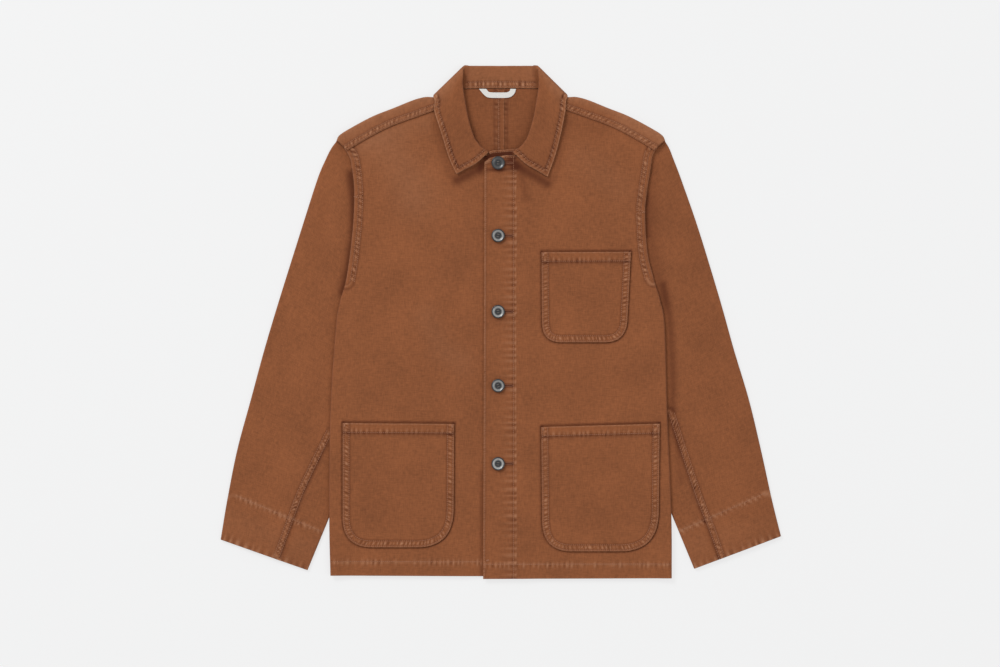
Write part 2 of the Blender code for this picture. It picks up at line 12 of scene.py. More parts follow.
import bmesh
import bpy
import numpy as np
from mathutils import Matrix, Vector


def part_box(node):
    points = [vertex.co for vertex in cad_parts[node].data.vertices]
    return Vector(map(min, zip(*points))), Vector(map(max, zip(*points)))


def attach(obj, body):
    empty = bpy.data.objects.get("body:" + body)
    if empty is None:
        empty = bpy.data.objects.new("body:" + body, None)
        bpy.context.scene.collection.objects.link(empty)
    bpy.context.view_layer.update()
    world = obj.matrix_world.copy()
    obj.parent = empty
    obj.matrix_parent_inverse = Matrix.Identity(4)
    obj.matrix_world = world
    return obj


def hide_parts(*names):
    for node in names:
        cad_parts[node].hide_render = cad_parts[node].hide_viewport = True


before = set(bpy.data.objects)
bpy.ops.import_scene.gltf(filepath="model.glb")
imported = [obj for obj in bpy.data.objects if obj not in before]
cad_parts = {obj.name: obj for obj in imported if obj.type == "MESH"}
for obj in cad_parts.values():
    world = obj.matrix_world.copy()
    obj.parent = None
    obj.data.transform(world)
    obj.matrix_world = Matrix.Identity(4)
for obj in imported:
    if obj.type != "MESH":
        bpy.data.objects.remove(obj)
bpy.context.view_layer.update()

MM = 0.001


def linked(name, data):
    """A new object in the scene, at the origin."""
    item = bpy.data.objects.new(name, data)
    bpy.context.scene.collection.objects.link(item)
    return item


def start_from(add, name, **how):
    """Add a primitive with nothing else selected."""
    bpy.ops.object.select_all(action="DESELECT")
    add(**how)
    bpy.context.object.name = name
    return bpy.context.object


def fill_in(node, **values):
    """Set a node's inputs by name; an underscore stands for a space."""
    for label, value in values.items():
        node.inputs[label.replace("_", " ")].default_value = value


# %% [markdown]
# ## Camera and light
#
# A garment laid on a table is seen from straight above. A long lens from high up keeps
# the outline free of perspective. A large soft panel high on the wearer's right, a
# weaker one across from it and a bright room give soft shading that still shows folds.
# The floor glows a little by itself, so that it stays an even pale grey all over.

# %% Camera straight above
VIEW_WIDTH = 1.5          # metres of table across the picture
VIEW_HEIGHT = 4.0         # camera over the cloth
CLOTH_FACE = 0.006        # the cloth's face over the floor
VIEW_CENTRE = (-0.0012, -0.0168)
SENSOR = 36.0

eye = bpy.data.cameras.new("camera")
eye.sensor_width = SENSOR
eye.lens = SENSOR * VIEW_HEIGHT / VIEW_WIDTH
eye.clip_end = 50
camera = linked("camera", eye)
camera.location = (*VIEW_CENTRE, VIEW_HEIGHT + CLOTH_FACE)
bpy.context.scene.camera = camera
print("lens:", round(eye.lens, 1), "mm")

# %% Soft studio light and a pale floor
ROOM_LIGHT, ROOM_STRENGTH = (0.97, 0.985, 1.0), 0.56
KEY_PANEL = (-3.2, 3.6, 4.2), 2.2, 190      # place and width in metres, power in watts
FILL_PANEL = (3.6, -1.2, 4.6), 3.0, 50
FLOOR_WIDE, FLOOR_UNDER = 12, 0.0004
FLOOR_GREY, FLOOR_GLOW = (0.2, 0.2, 0.2, 1), 0.70


def soft_panel(name, place, size, power):
    """A square lamp that faces the middle of the floor."""
    lamp = bpy.data.lights.new(name, "AREA")
    lamp.shape = "RECTANGLE"
    lamp.size = size
    lamp.size_y = size
    lamp.energy = power
    item = linked(name, lamp)
    item.location = place
    reach = np.array(place) * -1.0
    level = math.hypot(reach[0], reach[1])
    item.rotation_euler = (math.atan2(level, -reach[2]), 0, math.atan2(reach[0], -reach[1]) + math.pi)


def new_finish(name):
    """A new material, its node tree and its shader."""
    finish = bpy.data.materials.new(name)
    finish.use_nodes = True
    return finish, finish.node_tree, finish.node_tree.nodes["Principled BSDF"]


soft_panel("key_panel", *KEY_PANEL)
soft_panel("fill_panel", *FILL_PANEL)

room = bpy.data.worlds.new("room")
room.use_nodes = True
fill_in(room.node_tree.nodes["Background"], Color=(*ROOM_LIGHT, 1), Strength=ROOM_STRENGTH)
bpy.context.scene.world = room
bpy.context.scene.view_settings.view_transform = "Standard"

floor = start_from(bpy.ops.mesh.primitive_plane_add, "floor", size=FLOOR_WIDE,
                   location=(0, 0, -FLOOR_UNDER))
floor_paint, _, floor_shader = new_finish("floor_paint")
fill_in(floor_shader, Base_Color=FLOOR_GREY, Emission_Color=(1, 1, 1, 1),
        Emission_Strength=FLOOR_GLOW, Roughness=0.9, Specular_IOR_Level=0.0)
floor.data.materials.append(floor_paint)
print("lights and floor are ready")

# %% [markdown]
# ## Lines on the cutting table
#
# A pattern cutter works with curves through a few points, with lengths along them, and
# with distances from a seam. These small helpers do the same on arrays of points.

# %% Curves and distances
def smoothstep(low, high, value):
    share = np.clip((np.asarray(value, float) - low) / (high - low), 0.0, 1.0)
    return share * share * (3.0 - 2.0 * share)


def bell(value, width):
    return np.exp(-(np.asarray(value, float) / width) ** 2)


def through(points, steps=16):
    """A dense smooth line through the points (Catmull-Rom)."""
    p = np.asarray(points, float)
    p = np.vstack([2 * p[0] - p[1], p, 2 * p[-1] - p[-2]])
    t = (np.arange(steps) / steps)[:, None]
    line = []
    for a, b, c, d in zip(p, p[1:], p[2:], p[3:]):
        line.append(0.5 * (2 * b + (c - a) * t + (2 * a - 5 * b + 4 * c - d) * t ** 2
                           + (3 * b - a - 3 * c + d) * t ** 3))
    return np.vstack(line + [p[-2]])


def lengths_of(line):
    return np.append(0.0, np.cumsum(np.linalg.norm(np.diff(line, axis=0), axis=1)))


def at_shares(line, shares):
    """Points at shares of a dense line's length."""
    lengths = lengths_of(line)
    target = np.asarray(shares, float) * lengths[-1]
    return np.stack([np.interp(target, lengths, line[:, k]) for k in range(line.shape[1])], 1)


def graded(total, zones):
    """Shares from 0 to 1 whose spacing follows (until, step) zones, in millimetres."""
    marks, here = [0.0], 0.0
    for until, step in zones:
        until = min(until, total)
        if until <= here:
            continue
        count = max(1, round((until - here) / step))
        marks += list(here + (until - here) * (np.arange(count) + 1) / count)
        here = until
    return np.array(marks) / marks[-1]


def inward_normals(line, towards=(0.0, 0.0)):
    """Unit normals of a plane line, on the side where `towards` lies."""
    along = np.gradient(line, axis=0)
    normal = np.stack([-along[:, 1], along[:, 0]], 1)
    normal /= np.linalg.norm(normal, axis=1)[:, None]
    flip = ((np.asarray(towards, float) - line) * normal).sum(1) < 0
    normal[flip] *= -1
    return normal


def measure(line, points, reach=60.0):
    """Distance of plane points from a line, and how far along it the nearest place is.

    Points much further off than `reach` aren't measured and count as that far away.
    """
    gap, along = np.full(len(points), reach), np.zeros(len(points))
    low, high = line.min(0) - reach, line.max(0) + reach
    near = np.all((points > low) & (points < high), axis=1).nonzero()[0]
    some, best, place, start = points[near], np.full(len(near), 1e9), along[near], 0.0
    for a, b in zip(line[:-1], line[1:]):
        step = b - a
        size = float(np.hypot(*step))
        if size < 1e-9:
            continue
        share = np.clip(((some - a) @ step) / size ** 2, 0, 1)
        off = some - a - share[:, None] * step
        far = np.hypot(off[:, 0], off[:, 1])
        nearer = far < best
        best[nearer] = far[nearer]
        place[nearer] = start + share[nearer] * size
        start += size
    gap[near], along[near] = best, place
    return gap, along


def patch(left, right, bottom, top, v):
    """Plane points between four sides (a Coons patch); rows at shares v."""
    u = (top[:, 0] - top[0, 0]) / (top[-1, 0] - top[0, 0])
    v, u = v[:, None, None], u[None, :, None]
    ruled = (1 - v) * bottom[None] + v * top[None] + (1 - u) * left[:, None] + u * right[:, None]
    corners = ((1 - u) * (1 - v) * bottom[0] + u * (1 - v) * bottom[-1]
               + (1 - u) * v * top[0] + u * v * top[-1])
    return ruled - corners


def cut_out(left, top, corner, v):
    """Points of a panel whose bottom and right sides run straight to a corner."""
    right = corner + (top[-1] - corner) * v[:, None]
    share = (top[:, 0] - top[0, 0]) / (top[-1, 0] - top[0, 0])
    bottom = left[0] + (corner - left[0]) * share[:, None]
    return patch(left, right, bottom, top, v)


print("a line of 1 metre, graded:", len(graded(1000, ((20, 1), (1000, 5)))), "points")

# %% [markdown]
# ## The jacket's sizes
#
# Each outline is written as (out, up): out from the centre front towards a side, up from
# the middle of the jacket towards the collar. They repeat the frame's, because the cloth
# here has to lie where the frame's solids are. One box of the frame is printed to compare.

# %% Cloth thicknesses and outlines
CLOTH, DOUBLED, GAP = 1.2, 2.4, 0.3      # one ply, two plies, between sewn pieces
BODY, SHOULDER, LEAF = 5.4, 6.9, 3.0     # depth of the body, at the strip, over the leaf
SLEEVE_HIDDEN, SLEEVE_EDGE, SLEEVE_CROWN, EDGE_CLEAR = 3.6, 4.8, 1.2, 3.0      # sleeve depths
PACKET, COLLAR_PINCH, SEAM_CLEAR, LAP_RISE = 5.4, 3.0, 0.4, 1.6      # depth of the folded collar
BRIDGE, RAMP = {"fold": 28.0, "top": 50.0}, 40.0      # how the back climbs over a sleeve
NECK_RISE, NECK_SIDE = (246, 304), (106, 166)         # and over the collar's leaf
PLACKET_INNER, LAP_DIP, LAP_LIFT = 26.0, 1.4, 1.5     # the left front laps over the right
LAP_BLEND = {"right": (-60, -32), "left": (32, 58)}
SIGN = {"right": -1.0, "left": 1.0}

BODY_EDGE = {
    "right": ((255.6, -380), (257.3, -289), (255.6, -134), (247.4, -9), (241.7, 29),
              (232.8, 60), (226.4, 101), (221, 153), (220, 201), (224, 236),
              (227, 248), (235.5, 262)),
    "left": ((256.5, -384), (255.8, -289), (249.5, -134), (245.9, -8), (239.3, 32),
             (229.8, 64), (220, 105), (216.5, 160), (218.5, 190), (225, 232),
             (228, 250), (235.5, 263)),
}
UNDERARM = {"right": 62, "left": 66}      # up, where the armhole starts
SHOULDER_POINT = (246.5, 272)
SHOULDER_FOLD = (SHOULDER_POINT, (242, 280.5), (224, 292), (190, 310), (160, 322),
                 (131, 333.5), (113, 338), (97, 338.5), (88.4, 348.9))
SHOULDER_SEAM = ((230, 257.5), (205, 273), (165, 294), (121, 310), (90.5, 321))
FRONT_NECK = ((90.5, 321), (85.8, 307), (77, 284), (63, 263), (46, 252.5), (32, 249.5),
              (20.6, 249.5))
NECK_END = {"right": ((17.5, 256), (12, 257.8), (-10, 259.3), (-26, 260.5)),
            "left": ((8, 250.2), (-9, 248.6), (-17, 246.6), (-24.5, 240))}
HEM_FRONT = {"right": (-26, -381.3), "left": (-26.5, -385)}
HEM_BACK = (0.15, -381)
BACK_NECK = ((86, 346.5), (70, 349.5), (45, 350.6), (20, 351), (0.15, 351))
SLEEVE_OUTER = {
    "right": (SHOULDER_POINT, (254.6, 261), (263.6, 243), (275.6, 214), (299.6, 139),
              (332.6, 34), (355, -41), (375.3, -116), (395.6, -191), (410.6, -266),
              (420.6, -326)),
    "left": (SHOULDER_POINT, (253, 261), (260, 243), (271, 214), (297, 139),
             (329, 34), (350, -41), (372.5, -116), (390.5, -191), (407, -266),
             (420.6, -321)),
}
SLEEVE_TOP_IN, SLEEVE_START = (121, 68), (92, 110)
SLEEVE_HEAD = (-3.0, 6.0)         # the sleeve goes on this far under the shoulder
CUFF_IN = {"right": (290, -372), "left": (290.3, -370)}
COLLAR_CORNER = (55.8, 385)
ROLL = ((56.6, 369, 10.4), (56.6, 354, 10.8), (53, 330, 11.2), (47.3, 301, 11.2),
        (37, 272, 10.4), (25.7, 261, 7.6), (18.0, 255.5, 6.2))
LEAF_EDGE = {"right": ((99.6, 342.5), (99.6, 317), (88.5, 281), (77.6, 246), (66.5, 222)),
             "left": ((98.6, 342.8), (96.5, 315), (90, 282), (81.9, 250.7), (70.2, 218))}
LEAF_BACK_UP = 341.0
FOLD_OUT = np.array([1, 1, 0]) / math.sqrt(2)
NECK_TURN = np.array([-1, 0.2, 0]) / math.hypot(1, 0.2)
COLLAR_SLIDE = np.array([1, -1, 0]) / math.sqrt(2) * 5.9
UNDER_PARTS, TURNING = 4, (-60, -30, 0, 30, 60)     # sections under the back, at the fold
FIRST_FRONT = UNDER_PARTS + 1 + len(TURNING)
POCKETS = {
    "pocket_chest": dict(side="left", inner=(61, 105), outer=(195, 105.5),
                         bottom=-30, taper=(1, 7), corner=(30, 34)),
    "pocket_lower_right": dict(side="right", inner=(70, -152.5), outer=(237, -151),
                               bottom=-337.5, taper=(1, 0), corner=(58, 46)),
    "pocket_lower_left": dict(side="left", inner=(60.5, -157), outer=(238, -152),
                              bottom=-343.5, taper=(2, 2), corner=(46, 60)),
}
BUTTON_X, BUTTON_UPS = -4.0, (239, 130, 16, -95, -212)
low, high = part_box("front_left")
print("left front in the frame, mm:", [round(v / MM, 1) for v in (*low, *high)])

# %% [markdown]
# ## How high each layer lies
#
# The back lies on the table. It rises where a sleeve or the collar's leaf passes under
# it, and the front floats over it with the thickness of the folded body between.

# %% Levels of the layers
def beyond(out, up, a, b):
    """Distance of plane points from the line a-b, positive on its inner side."""
    along = np.subtract(b, a) / np.linalg.norm(np.subtract(b, a))
    inward = np.array([along[1], -along[0]])
    if inward[0] > 0:
        inward = -inward
    return (out - a[0]) * inward[0] + (up - a[1]) * inward[1]


def back_level(points):
    out, up = np.abs(points[..., 0]), points[..., 1]
    off_fold = beyond(out, up, SLEEVE_TOP_IN, CUFF_IN["left"]) - BRIDGE["fold"]
    off_top = beyond(out, up, SHOULDER_POINT, SLEEVE_TOP_IN) - BRIDGE["top"]
    sleeve = 1.0 - smoothstep(0, RAMP, np.maximum(off_fold, off_top))
    leaf = smoothstep(*NECK_RISE, up) * (1.0 - smoothstep(*NECK_SIDE, out))
    return np.maximum((SLEEVE_HIDDEN + GAP) * sleeve, LEAF * leaf)


def front_level(points, side=None):
    """Outer face of a front; x is signed here, because the fronts overlap."""
    level = back_level(points) + BODY
    if side == "right":
        level = level - LAP_DIP * smoothstep(*LAP_BLEND[side], points[..., 0])
    if side == "left":
        level = level + LAP_LIFT * (1.0 - smoothstep(*LAP_BLEND[side], points[..., 0]))
    return level


spots = np.array([[0.0, 0.0], [120.0, 100.0], [200.0, -300.0]])
print("back level at centre, chest and pocket, mm:", back_level(spots).round(2))

# %% [markdown]
# ## Soft creases
#
# Washed canvas never lies quite flat. Each crease is a line from one place to another,
# with a width and a rise: positive for a ridge, negative for a trough. They differ in
# length, depth and spacing, as hand-smoothed cloth does, and fade out at their ends.

# %% Creases of the fronts, the sleeves and the back
CREASE_ENDS = 0.25        # share of a crease's rise that is left at its ends
FRONT_CREASES = (         # start x and y, bend x and y, stop x and y, width, rise
    (-72, 262, -140, 212, -184, 118, 15, -1.5),
    (-112, 250, -172, 190, -206, 130, 14, 1.1),
    (-60, 215, -88, 150, -128, 92, 17, 0.9),
    (-140, 66, -178, 4, -196, -108, 14, -1.1),
    (-206, 60, -224, -20, -222, -120, 13, 1.2),
    (-176, -52, -120, -58, -78, -128, 12, -1.3),
    (-160, -84, -128, -112, -88, -136, 9, 0.8),
    (-104, 12, -84, -30, -46, -52, 12, 0.4),
    (-150, 40, -118, -6, -112, -58, 12, 0.8),
    (-52, 120, -60, 20, -50, -84, 9, -0.8),
    (-205, 210, -190, 238, -168, 262, 9, 0.8),
    (-236, -60, -238, -120, -232, -146, 7, -0.7),
    (96, 300, 134, 284, 186, 262, 11, -0.9),
    (60, 236, 108, 210, 176, 206, 12, 0.9),
    (70, 196, 120, 168, 196, 160, 13, -0.7),
    (176, 238, 200, 200, 206, 150, 10, 0.9),
    (58, 112, 52, 60, 54, -28, 8, -1.0),
    (84, -52, 130, -72, 190, -58, 15, 0.8),
    (96, -92, 150, -116, 214, -96, 12, -0.8),
    (214, 60, 226, -20, 224, -120, 10, 0.9),
    (66, -60, 58, -110, 64, -150, 9, 0.9),
    (132, -340, 160, -358, 214, -352, 10, 0.7),
    (-210, -350, -150, -362, -96, -352, 10, 0.7),
    (-60, -160, -48, -240, -52, -340, 9, -0.7),
    (50, -170, 46, -250, 50, -350, 8, -0.7),
    (-172, -176, -164, -240, -176, -300, 15, 0.9),
    (-118, -190, -104, -250, -128, -312, 13, -0.9),
    (118, -196, 104, -250, 120, -318, 13, 0.9),
    (188, -190, 196, -252, 176, -310, 14, -0.9),
    (90, 60, 104, 24, 98, -8, 9, 0.7),
    (150, 66, 142, 30, 154, 0, 9, -0.8),
)
PLACKET_CREASES = (
    (-22, 222, -2, 218, 18, 212, 5, 0.5),
    (-22, 200, 0, 198, 16, 194, 6, 0.6),
    (-20, 180, 0, 182, 18, 176, 4, -0.4),
    (-22, 162, -4, 166, 20, 160, 7, 0.7),
    (-18, 108, 2, 104, 20, 106, 5, 0.5),
    (-24, 92, -4, 96, 18, 88, 5, -0.5),
    (-20, 76, 2, 70, 18, 74, 6, -0.5),
    (-24, 56, -4, 60, 20, 52, 5, 0.6),
    (-14, 38, 4, 34, 20, 38, 4, 0.4),
    (-22, -8, -6, -4, 20, -14, 6, 0.6),
    (-10, -26, 6, -22, 20, -34, 4, -0.5),
    (-24, -44, -4, -40, 18, -50, 6, 0.5),
    (-16, -62, 6, -66, 20, -60, 4, -0.4),
    (-24, -118, -2, -112, 20, -120, 5, 0.5),
    (-20, -142, 4, -146, 20, -136, 5, -0.4),
    (-22, -168, -4, -162, 18, -172, 6, 0.6),
    (-18, -188, 4, -192, 20, -186, 4, -0.4),
    (-22, -244, 0, -240, 20, -248, 6, 0.5),
    (-22, -276, -2, -280, 18, -272, 5, -0.4),
    (-20, -306, 2, -300, 20, -308, 6, 0.5),
    (-24, -338, -4, -342, 18, -334, 5, -0.4),
)
SLEEVE_CREASES = (
    (252, 222, 262, 160, 262, 92, 10, -1.8),
    (276, 176, 288, 120, 298, 60, 11, 1.4),
    (262, 84, 276, 30, 282, -30, 12, -1.0),
    (296, 60, 310, 0, 318, -60, 13, 1.1),
    (322, 20, 342, -40, 352, -96, 10, -0.9),
    (276, -30, 300, -70, 318, -120, 11, 0.8),
    (268, -60, 276, -120, 284, -160, 9, -1.2),
    (340, -110, 352, -160, 372, -206, 11, 1.0),
    (306, -130, 318, -180, 340, -214, 10, -0.8),
    (362, -190, 374, -230, 392, -262, 9, -0.7),
    (290, -210, 308, -234, 330, -246, 9, 0.8),
    (352, -280, 372, -288, 396, -286, 7, 0.6),
)
BACK_CREASES = (
    (20, 220, 60, 120, 40, 10, 20, 0.9),
    (70, 250, 100, 180, 96, 60, 16, -0.7),
    (40, -40, 70, -150, 50, -260, 22, 0.9),
    (110, -60, 130, -180, 120, -300, 18, 0.8),
    (-20, 210, -50, 120, -44, -10, 18, 0.8),
    (-80, 240, -104, 160, -90, 40, 16, -0.7),
    (-50, -60, -64, -170, -40, -280, 22, 0.9),
    (-120, -50, -136, -170, -112, -290, 18, 0.8),
)


def crease_rise(points, table, mirror=1.0):
    """Sum of the creases at plane points, in millimetres."""
    total = np.zeros(len(points))
    for x0, y0, bend_x, bend_y, x1, y1, width, rise in table:
        line = through([(mirror * x0, y0), (mirror * bend_x, bend_y), (mirror * x1, y1)], 8)
        gap, along = measure(line, points)
        whole = lengths_of(line)[-1]
        fade = smoothstep(0, 0.45 * whole, along) * (1 - smoothstep(0.55 * whole, whole, along))
        total += rise * (CREASE_ENDS + (1 - CREASE_ENDS) * fade) * bell(gap, width)
    return total


def waves(along, spacing, seed):
    """An uneven ripple from -1 to 1 along a seam, as sewing gathers the cloth."""
    draw = np.random.default_rng(seed)
    count = int(max(along.max(), 1) / spacing * 2) + 6
    place = (np.arange(count) - 1 + draw.uniform(-0.3, 0.3, count)) * spacing / 2
    turn = np.where(np.arange(count) % 2 == 0, 1.0, -1.0) * draw.uniform(0.5, 1.0, count)
    k = np.clip(np.searchsorted(place, along) - 1, 0, count - 2)
    share = smoothstep(0, 1, (along - place[k]) / (place[k + 1] - place[k]))
    return turn[k] * (1 - share) + turn[k + 1] * share


print("creases:", len(FRONT_CREASES), "on the fronts,", len(PLACKET_CREASES), "on the placket")

# %% [markdown]
# ## Finishes
#
# Canvas is a plain weave of thick yarns. Washing fades the yarns on top, most of all
# on ridges and along seams, and the colour stays deep at the stitching. The same marks
# also carry painted light where the cloth should catch more light, and painted shade in
# hollows, beside raised seams and under the collar, the buttons and the pockets' mouths.
# The weave is one node group and the colour another, used by every cloth with its own values.

# %% Small helpers for node trees
def new_group(name, inputs, outputs):
    tree = bpy.data.node_groups.new(name, "ShaderNodeTree")
    for label, kind, value in inputs:
        socket = tree.interface.new_socket(label, in_out="INPUT", socket_type=kind)
        if value is not None:
            socket.default_value = value
    for label, kind in outputs:
        tree.interface.new_socket(label, in_out="OUTPUT", socket_type=kind)
    return tree, tree.nodes.new("NodeGroupInput").outputs, tree.nodes.new("NodeGroupOutput").inputs


def wire(tree, value, socket):
    if isinstance(value, bpy.types.NodeSocket):
        tree.links.new(value, socket)
    else:
        socket.default_value = value


def calc(tree, operation, a, b=0.0, clamp=False):
    node = tree.nodes.new("ShaderNodeMath")
    node.operation = operation
    node.use_clamp = clamp
    wire(tree, a, node.inputs[0])
    wire(tree, b, node.inputs[1])
    return node.outputs[0]


def blend_colour(tree, share, a, b, kind="MIX"):
    node = tree.nodes.new("ShaderNodeMix")
    node.data_type = "RGBA"
    node.blend_type = kind
    wire(tree, share, node.inputs[0])
    wire(tree, a, node.inputs[6])
    wire(tree, b, node.inputs[7])
    return node.outputs[2]


def noise(tree, vector, scale, detail=2.0, stretch=(1, 1, 1)):
    place = tree.nodes.new("ShaderNodeMapping")
    fill_in(place, Scale=stretch)
    wire(tree, vector, place.inputs["Vector"])
    node = tree.nodes.new("ShaderNodeTexNoise")
    fill_in(node, Scale=scale, Detail=detail)
    wire(tree, place.outputs[0], node.inputs["Vector"])
    return node.outputs["Fac"]


# %% Group: a plain weave, with uneven yarns
YARN = 0.00072            # metres from yarn to yarn
SLUB_LONG, SLUB_WIDE = 90, 760      # how fast a yarn's thickness varies, along it and across
SLUB_RISE, WEAVE_TONE, CROSSING = 0.8, 0.22, 2.5


def weave_group():
    tree, given, made = new_group(
        "plain_weave", [("Cloth", "NodeSocketVector", None), ("Yarn", "NodeSocketFloat", YARN)],
        [("Height", "NodeSocketFloat"), ("Tone", "NodeSocketFloat")])
    split = tree.nodes.new("ShaderNodeSeparateXYZ")
    tree.links.new(given["Cloth"], split.inputs[0])
    turn = calc(tree, "DIVIDE", math.pi, given["Yarn"])
    warp = calc(tree, "SINE", calc(tree, "MULTIPLY", split.outputs[0], turn))
    weft = calc(tree, "SINE", calc(tree, "MULTIPLY", split.outputs[1], turn))
    over = calc(tree, "ADD", calc(tree, "MULTIPLY", calc(tree, "MULTIPLY", warp, weft), CROSSING),
                0.5, True)
    on_top = calc(tree, "MULTIPLY", calc(tree, "ABSOLUTE", warp), over)
    below = calc(tree, "MULTIPLY", calc(tree, "ABSOLUTE", weft), calc(tree, "SUBTRACT", 1.0, over))
    height = calc(tree, "ADD", on_top, below)
    slub_up = noise(tree, given["Cloth"], 1.0, 2.0, (SLUB_WIDE, SLUB_LONG, 1))
    slub_across = noise(tree, given["Cloth"], 1.0, 2.0, (SLUB_LONG, SLUB_WIDE, 1))
    slub = calc(tree, "ADD", slub_up, slub_across)
    tone = calc(tree, "ADD", calc(tree, "MULTIPLY", slub, 0.5),
                calc(tree, "MULTIPLY", calc(tree, "SUBTRACT", height, 0.6), WEAVE_TONE), True)
    tree.links.new(calc(tree, "ADD", height, calc(tree, "MULTIPLY", slub, SLUB_RISE)), made["Height"])
    tree.links.new(tone, made["Tone"])
    return tree


# %% Group: colour that washing fades, with painted light and painted shade
PATCH_SCALE, PATCH_DEPTH = 16.0, 0.42       # broad cloudy patches
FLECK_SCALE, FLECK_DEPTH = 190.0, 0.42      # small flecks
YARN_DEPTH = 0.95                           # from yarn to yarn


def around_zero(tree, value, depth):
    """A value from 0 to 1 as one from -depth / 2 to depth / 2."""
    return calc(tree, "MULTIPLY", calc(tree, "SUBTRACT", value, 0.5), depth)


def fading_and_shading_group():
    tree, given, made = new_group(
        "washed_fading_and_shading",
        [("Cloth", "NodeSocketColor", (0.5, 0.5, 0.5, 1)),
         ("Faded", "NodeSocketColor", (0.5, 0.5, 0.5, 1)),
         ("Deep", "NodeSocketColor", (0.1, 0.1, 0.1, 1)),
         ("WornAndLit", "NodeSocketFloat", 0.0), ("Dark", "NodeSocketFloat", 0.0),
         ("Tone", "NodeSocketFloat", 0.5), ("Place", "NodeSocketVector", None)],
        [("Color", "NodeSocketColor")])
    patches = noise(tree, given["Place"], PATCH_SCALE, 3.0)
    flecks = noise(tree, given["Place"], FLECK_SCALE, 4.0)
    cloudy = calc(tree, "ADD", around_zero(tree, patches, PATCH_DEPTH),
                  around_zero(tree, flecks, FLECK_DEPTH))
    yarns = around_zero(tree, given["Tone"], YARN_DEPTH)
    bright = calc(tree, "ADD", calc(tree, "ADD", cloudy, yarns), 1.0)
    level = tree.nodes.new("ShaderNodeCombineColor")
    for socket in level.inputs[:3]:
        tree.links.new(bright, socket)
    base = blend_colour(tree, 1.0, given["Cloth"], level.outputs[0], "MULTIPLY")
    # the pale mark brings wear and painted light, the dark mark deep colour and painted shade
    rubbed_and_lit = calc(tree, "MULTIPLY", given["WornAndLit"], calc(tree, "ADD", flecks, 0.45), True)
    faded_and_lit = blend_colour(tree, rubbed_and_lit, base, given["Faded"])
    tree.links.new(blend_colour(tree, given["Dark"], faded_and_lit, given["Deep"]), made["Color"])
    return tree


weave, fading_and_shading = weave_group(), fading_and_shading_group()
print("node groups:", weave.name, fading_and_shading.name)

# %% Colours of the jacket
CANVAS = (0.264, 0.0872, 0.0316, 1)
# a pale colour for wear and painted light, a dark colour for deep dye and painted shadow
CANVAS_FADED_AND_LIT = (0.48, 0.228, 0.123, 1)
CANVAS_DEEP_AND_SHADOW = (0.085, 0.018, 0.005, 1)
THREAD = (0.40, 0.172, 0.088, 1)
BUTTONHOLE_THREAD = (0.20, 0.066, 0.027, 1)
# the button thread is pale grey as a painted highlight: it stands for the glints in the buttons' centres
BUTTON_THREAD = (0.17, 0.15, 0.135, 1)
# the rim colour is a painted highlight
HORN, HORN_RIM_HIGHLIGHT = (0.022, 0.023, 0.025, 1), (0.42, 0.41, 0.39, 1)
TAPE = (0.74, 0.72, 0.68, 1)
print("canvas, linear:", CANVAS[:3], "faded:", CANVAS_FADED_AND_LIT[:3])


# %% Materials of the jacket
def placed_group(tree, group):
    node = tree.nodes.new("ShaderNodeGroup")
    node.node_tree = group
    return node


def attribute(tree, name):
    node = tree.nodes.new("ShaderNodeAttribute")
    node.attribute_name = name
    return node.outputs["Fac"]


def bumped(tree, shader, height, strength, distance):
    """Let a height tilt the surface; the distance is in metres."""
    bump = tree.nodes.new("ShaderNodeBump")
    fill_in(bump, Strength=strength, Distance=distance)
    tree.links.new(height, bump.inputs["Height"])
    tree.links.new(bump.outputs[0], shader.inputs["Normal"])


def canvas_material(name, cloth):
    """Washed canvas; the weave follows the piece's own UV map."""
    finish, tree, shader = new_finish(name)
    threads = tree.nodes.new("ShaderNodeUVMap")
    threads.uv_map = "cloth"
    yarns = placed_group(tree, weave)
    tree.links.new(threads.outputs[0], yarns.inputs["Cloth"])
    wash = placed_group(tree, fading_and_shading)
    fill_in(wash, Cloth=cloth, Faded=CANVAS_FADED_AND_LIT, Deep=CANVAS_DEEP_AND_SHADOW)
    # pale mark: wear and painted light; dark mark: deep colour at seams and painted shade
    tree.links.new(attribute(tree, "worn_and_lit"), wash.inputs["WornAndLit"])
    tree.links.new(attribute(tree, "dark"), wash.inputs["Dark"])
    tree.links.new(yarns.outputs["Tone"], wash.inputs["Tone"])
    tree.links.new(tree.nodes.new("ShaderNodeTexCoord").outputs["Object"], wash.inputs["Place"])
    tree.links.new(wash.outputs[0], shader.inputs["Base Color"])
    bumped(tree, shader, yarns.outputs["Height"], 0.35, 0.00022)
    fill_in(shader, Roughness=0.92, Specular_IOR_Level=0.18, Sheen_Weight=0.06, Sheen_Roughness=0.6)
    return finish


def plain_finish(name, colour, roughness, scale, contrast, coat=0.0, rim=None):
    """A colour broken by a fine grain; a painted highlight colour shows on the rim, where its mark is."""
    finish, tree, shader = new_finish(name)
    where = tree.nodes.new("ShaderNodeTexCoord").outputs["Object"]
    grain = noise(tree, where, scale, 4.0)
    dark = tuple(c * (1 - contrast) for c in colour[:3]) + (1,)
    light = tuple(min(1, c * (1 + contrast)) for c in colour[:3]) + (1,)
    base = blend_colour(tree, grain, dark, light)
    if rim is not None:
        rim_highlit = calc(tree, "MULTIPLY", attribute(tree, "rim"), calc(tree, "ADD", grain, 0.45), True)
        base = blend_colour(tree, rim_highlit, base, rim)
    tree.links.new(base, shader.inputs["Base Color"])
    bumped(tree, shader, grain, 0.3, 0.0001)
    tree.links.new(calc(tree, "ADD", calc(tree, "MULTIPLY", grain, 0.2), roughness - 0.1),
                   shader.inputs["Roughness"])
    fill_in(shader, Coat_Weight=coat, Coat_Roughness=0.2)
    return finish


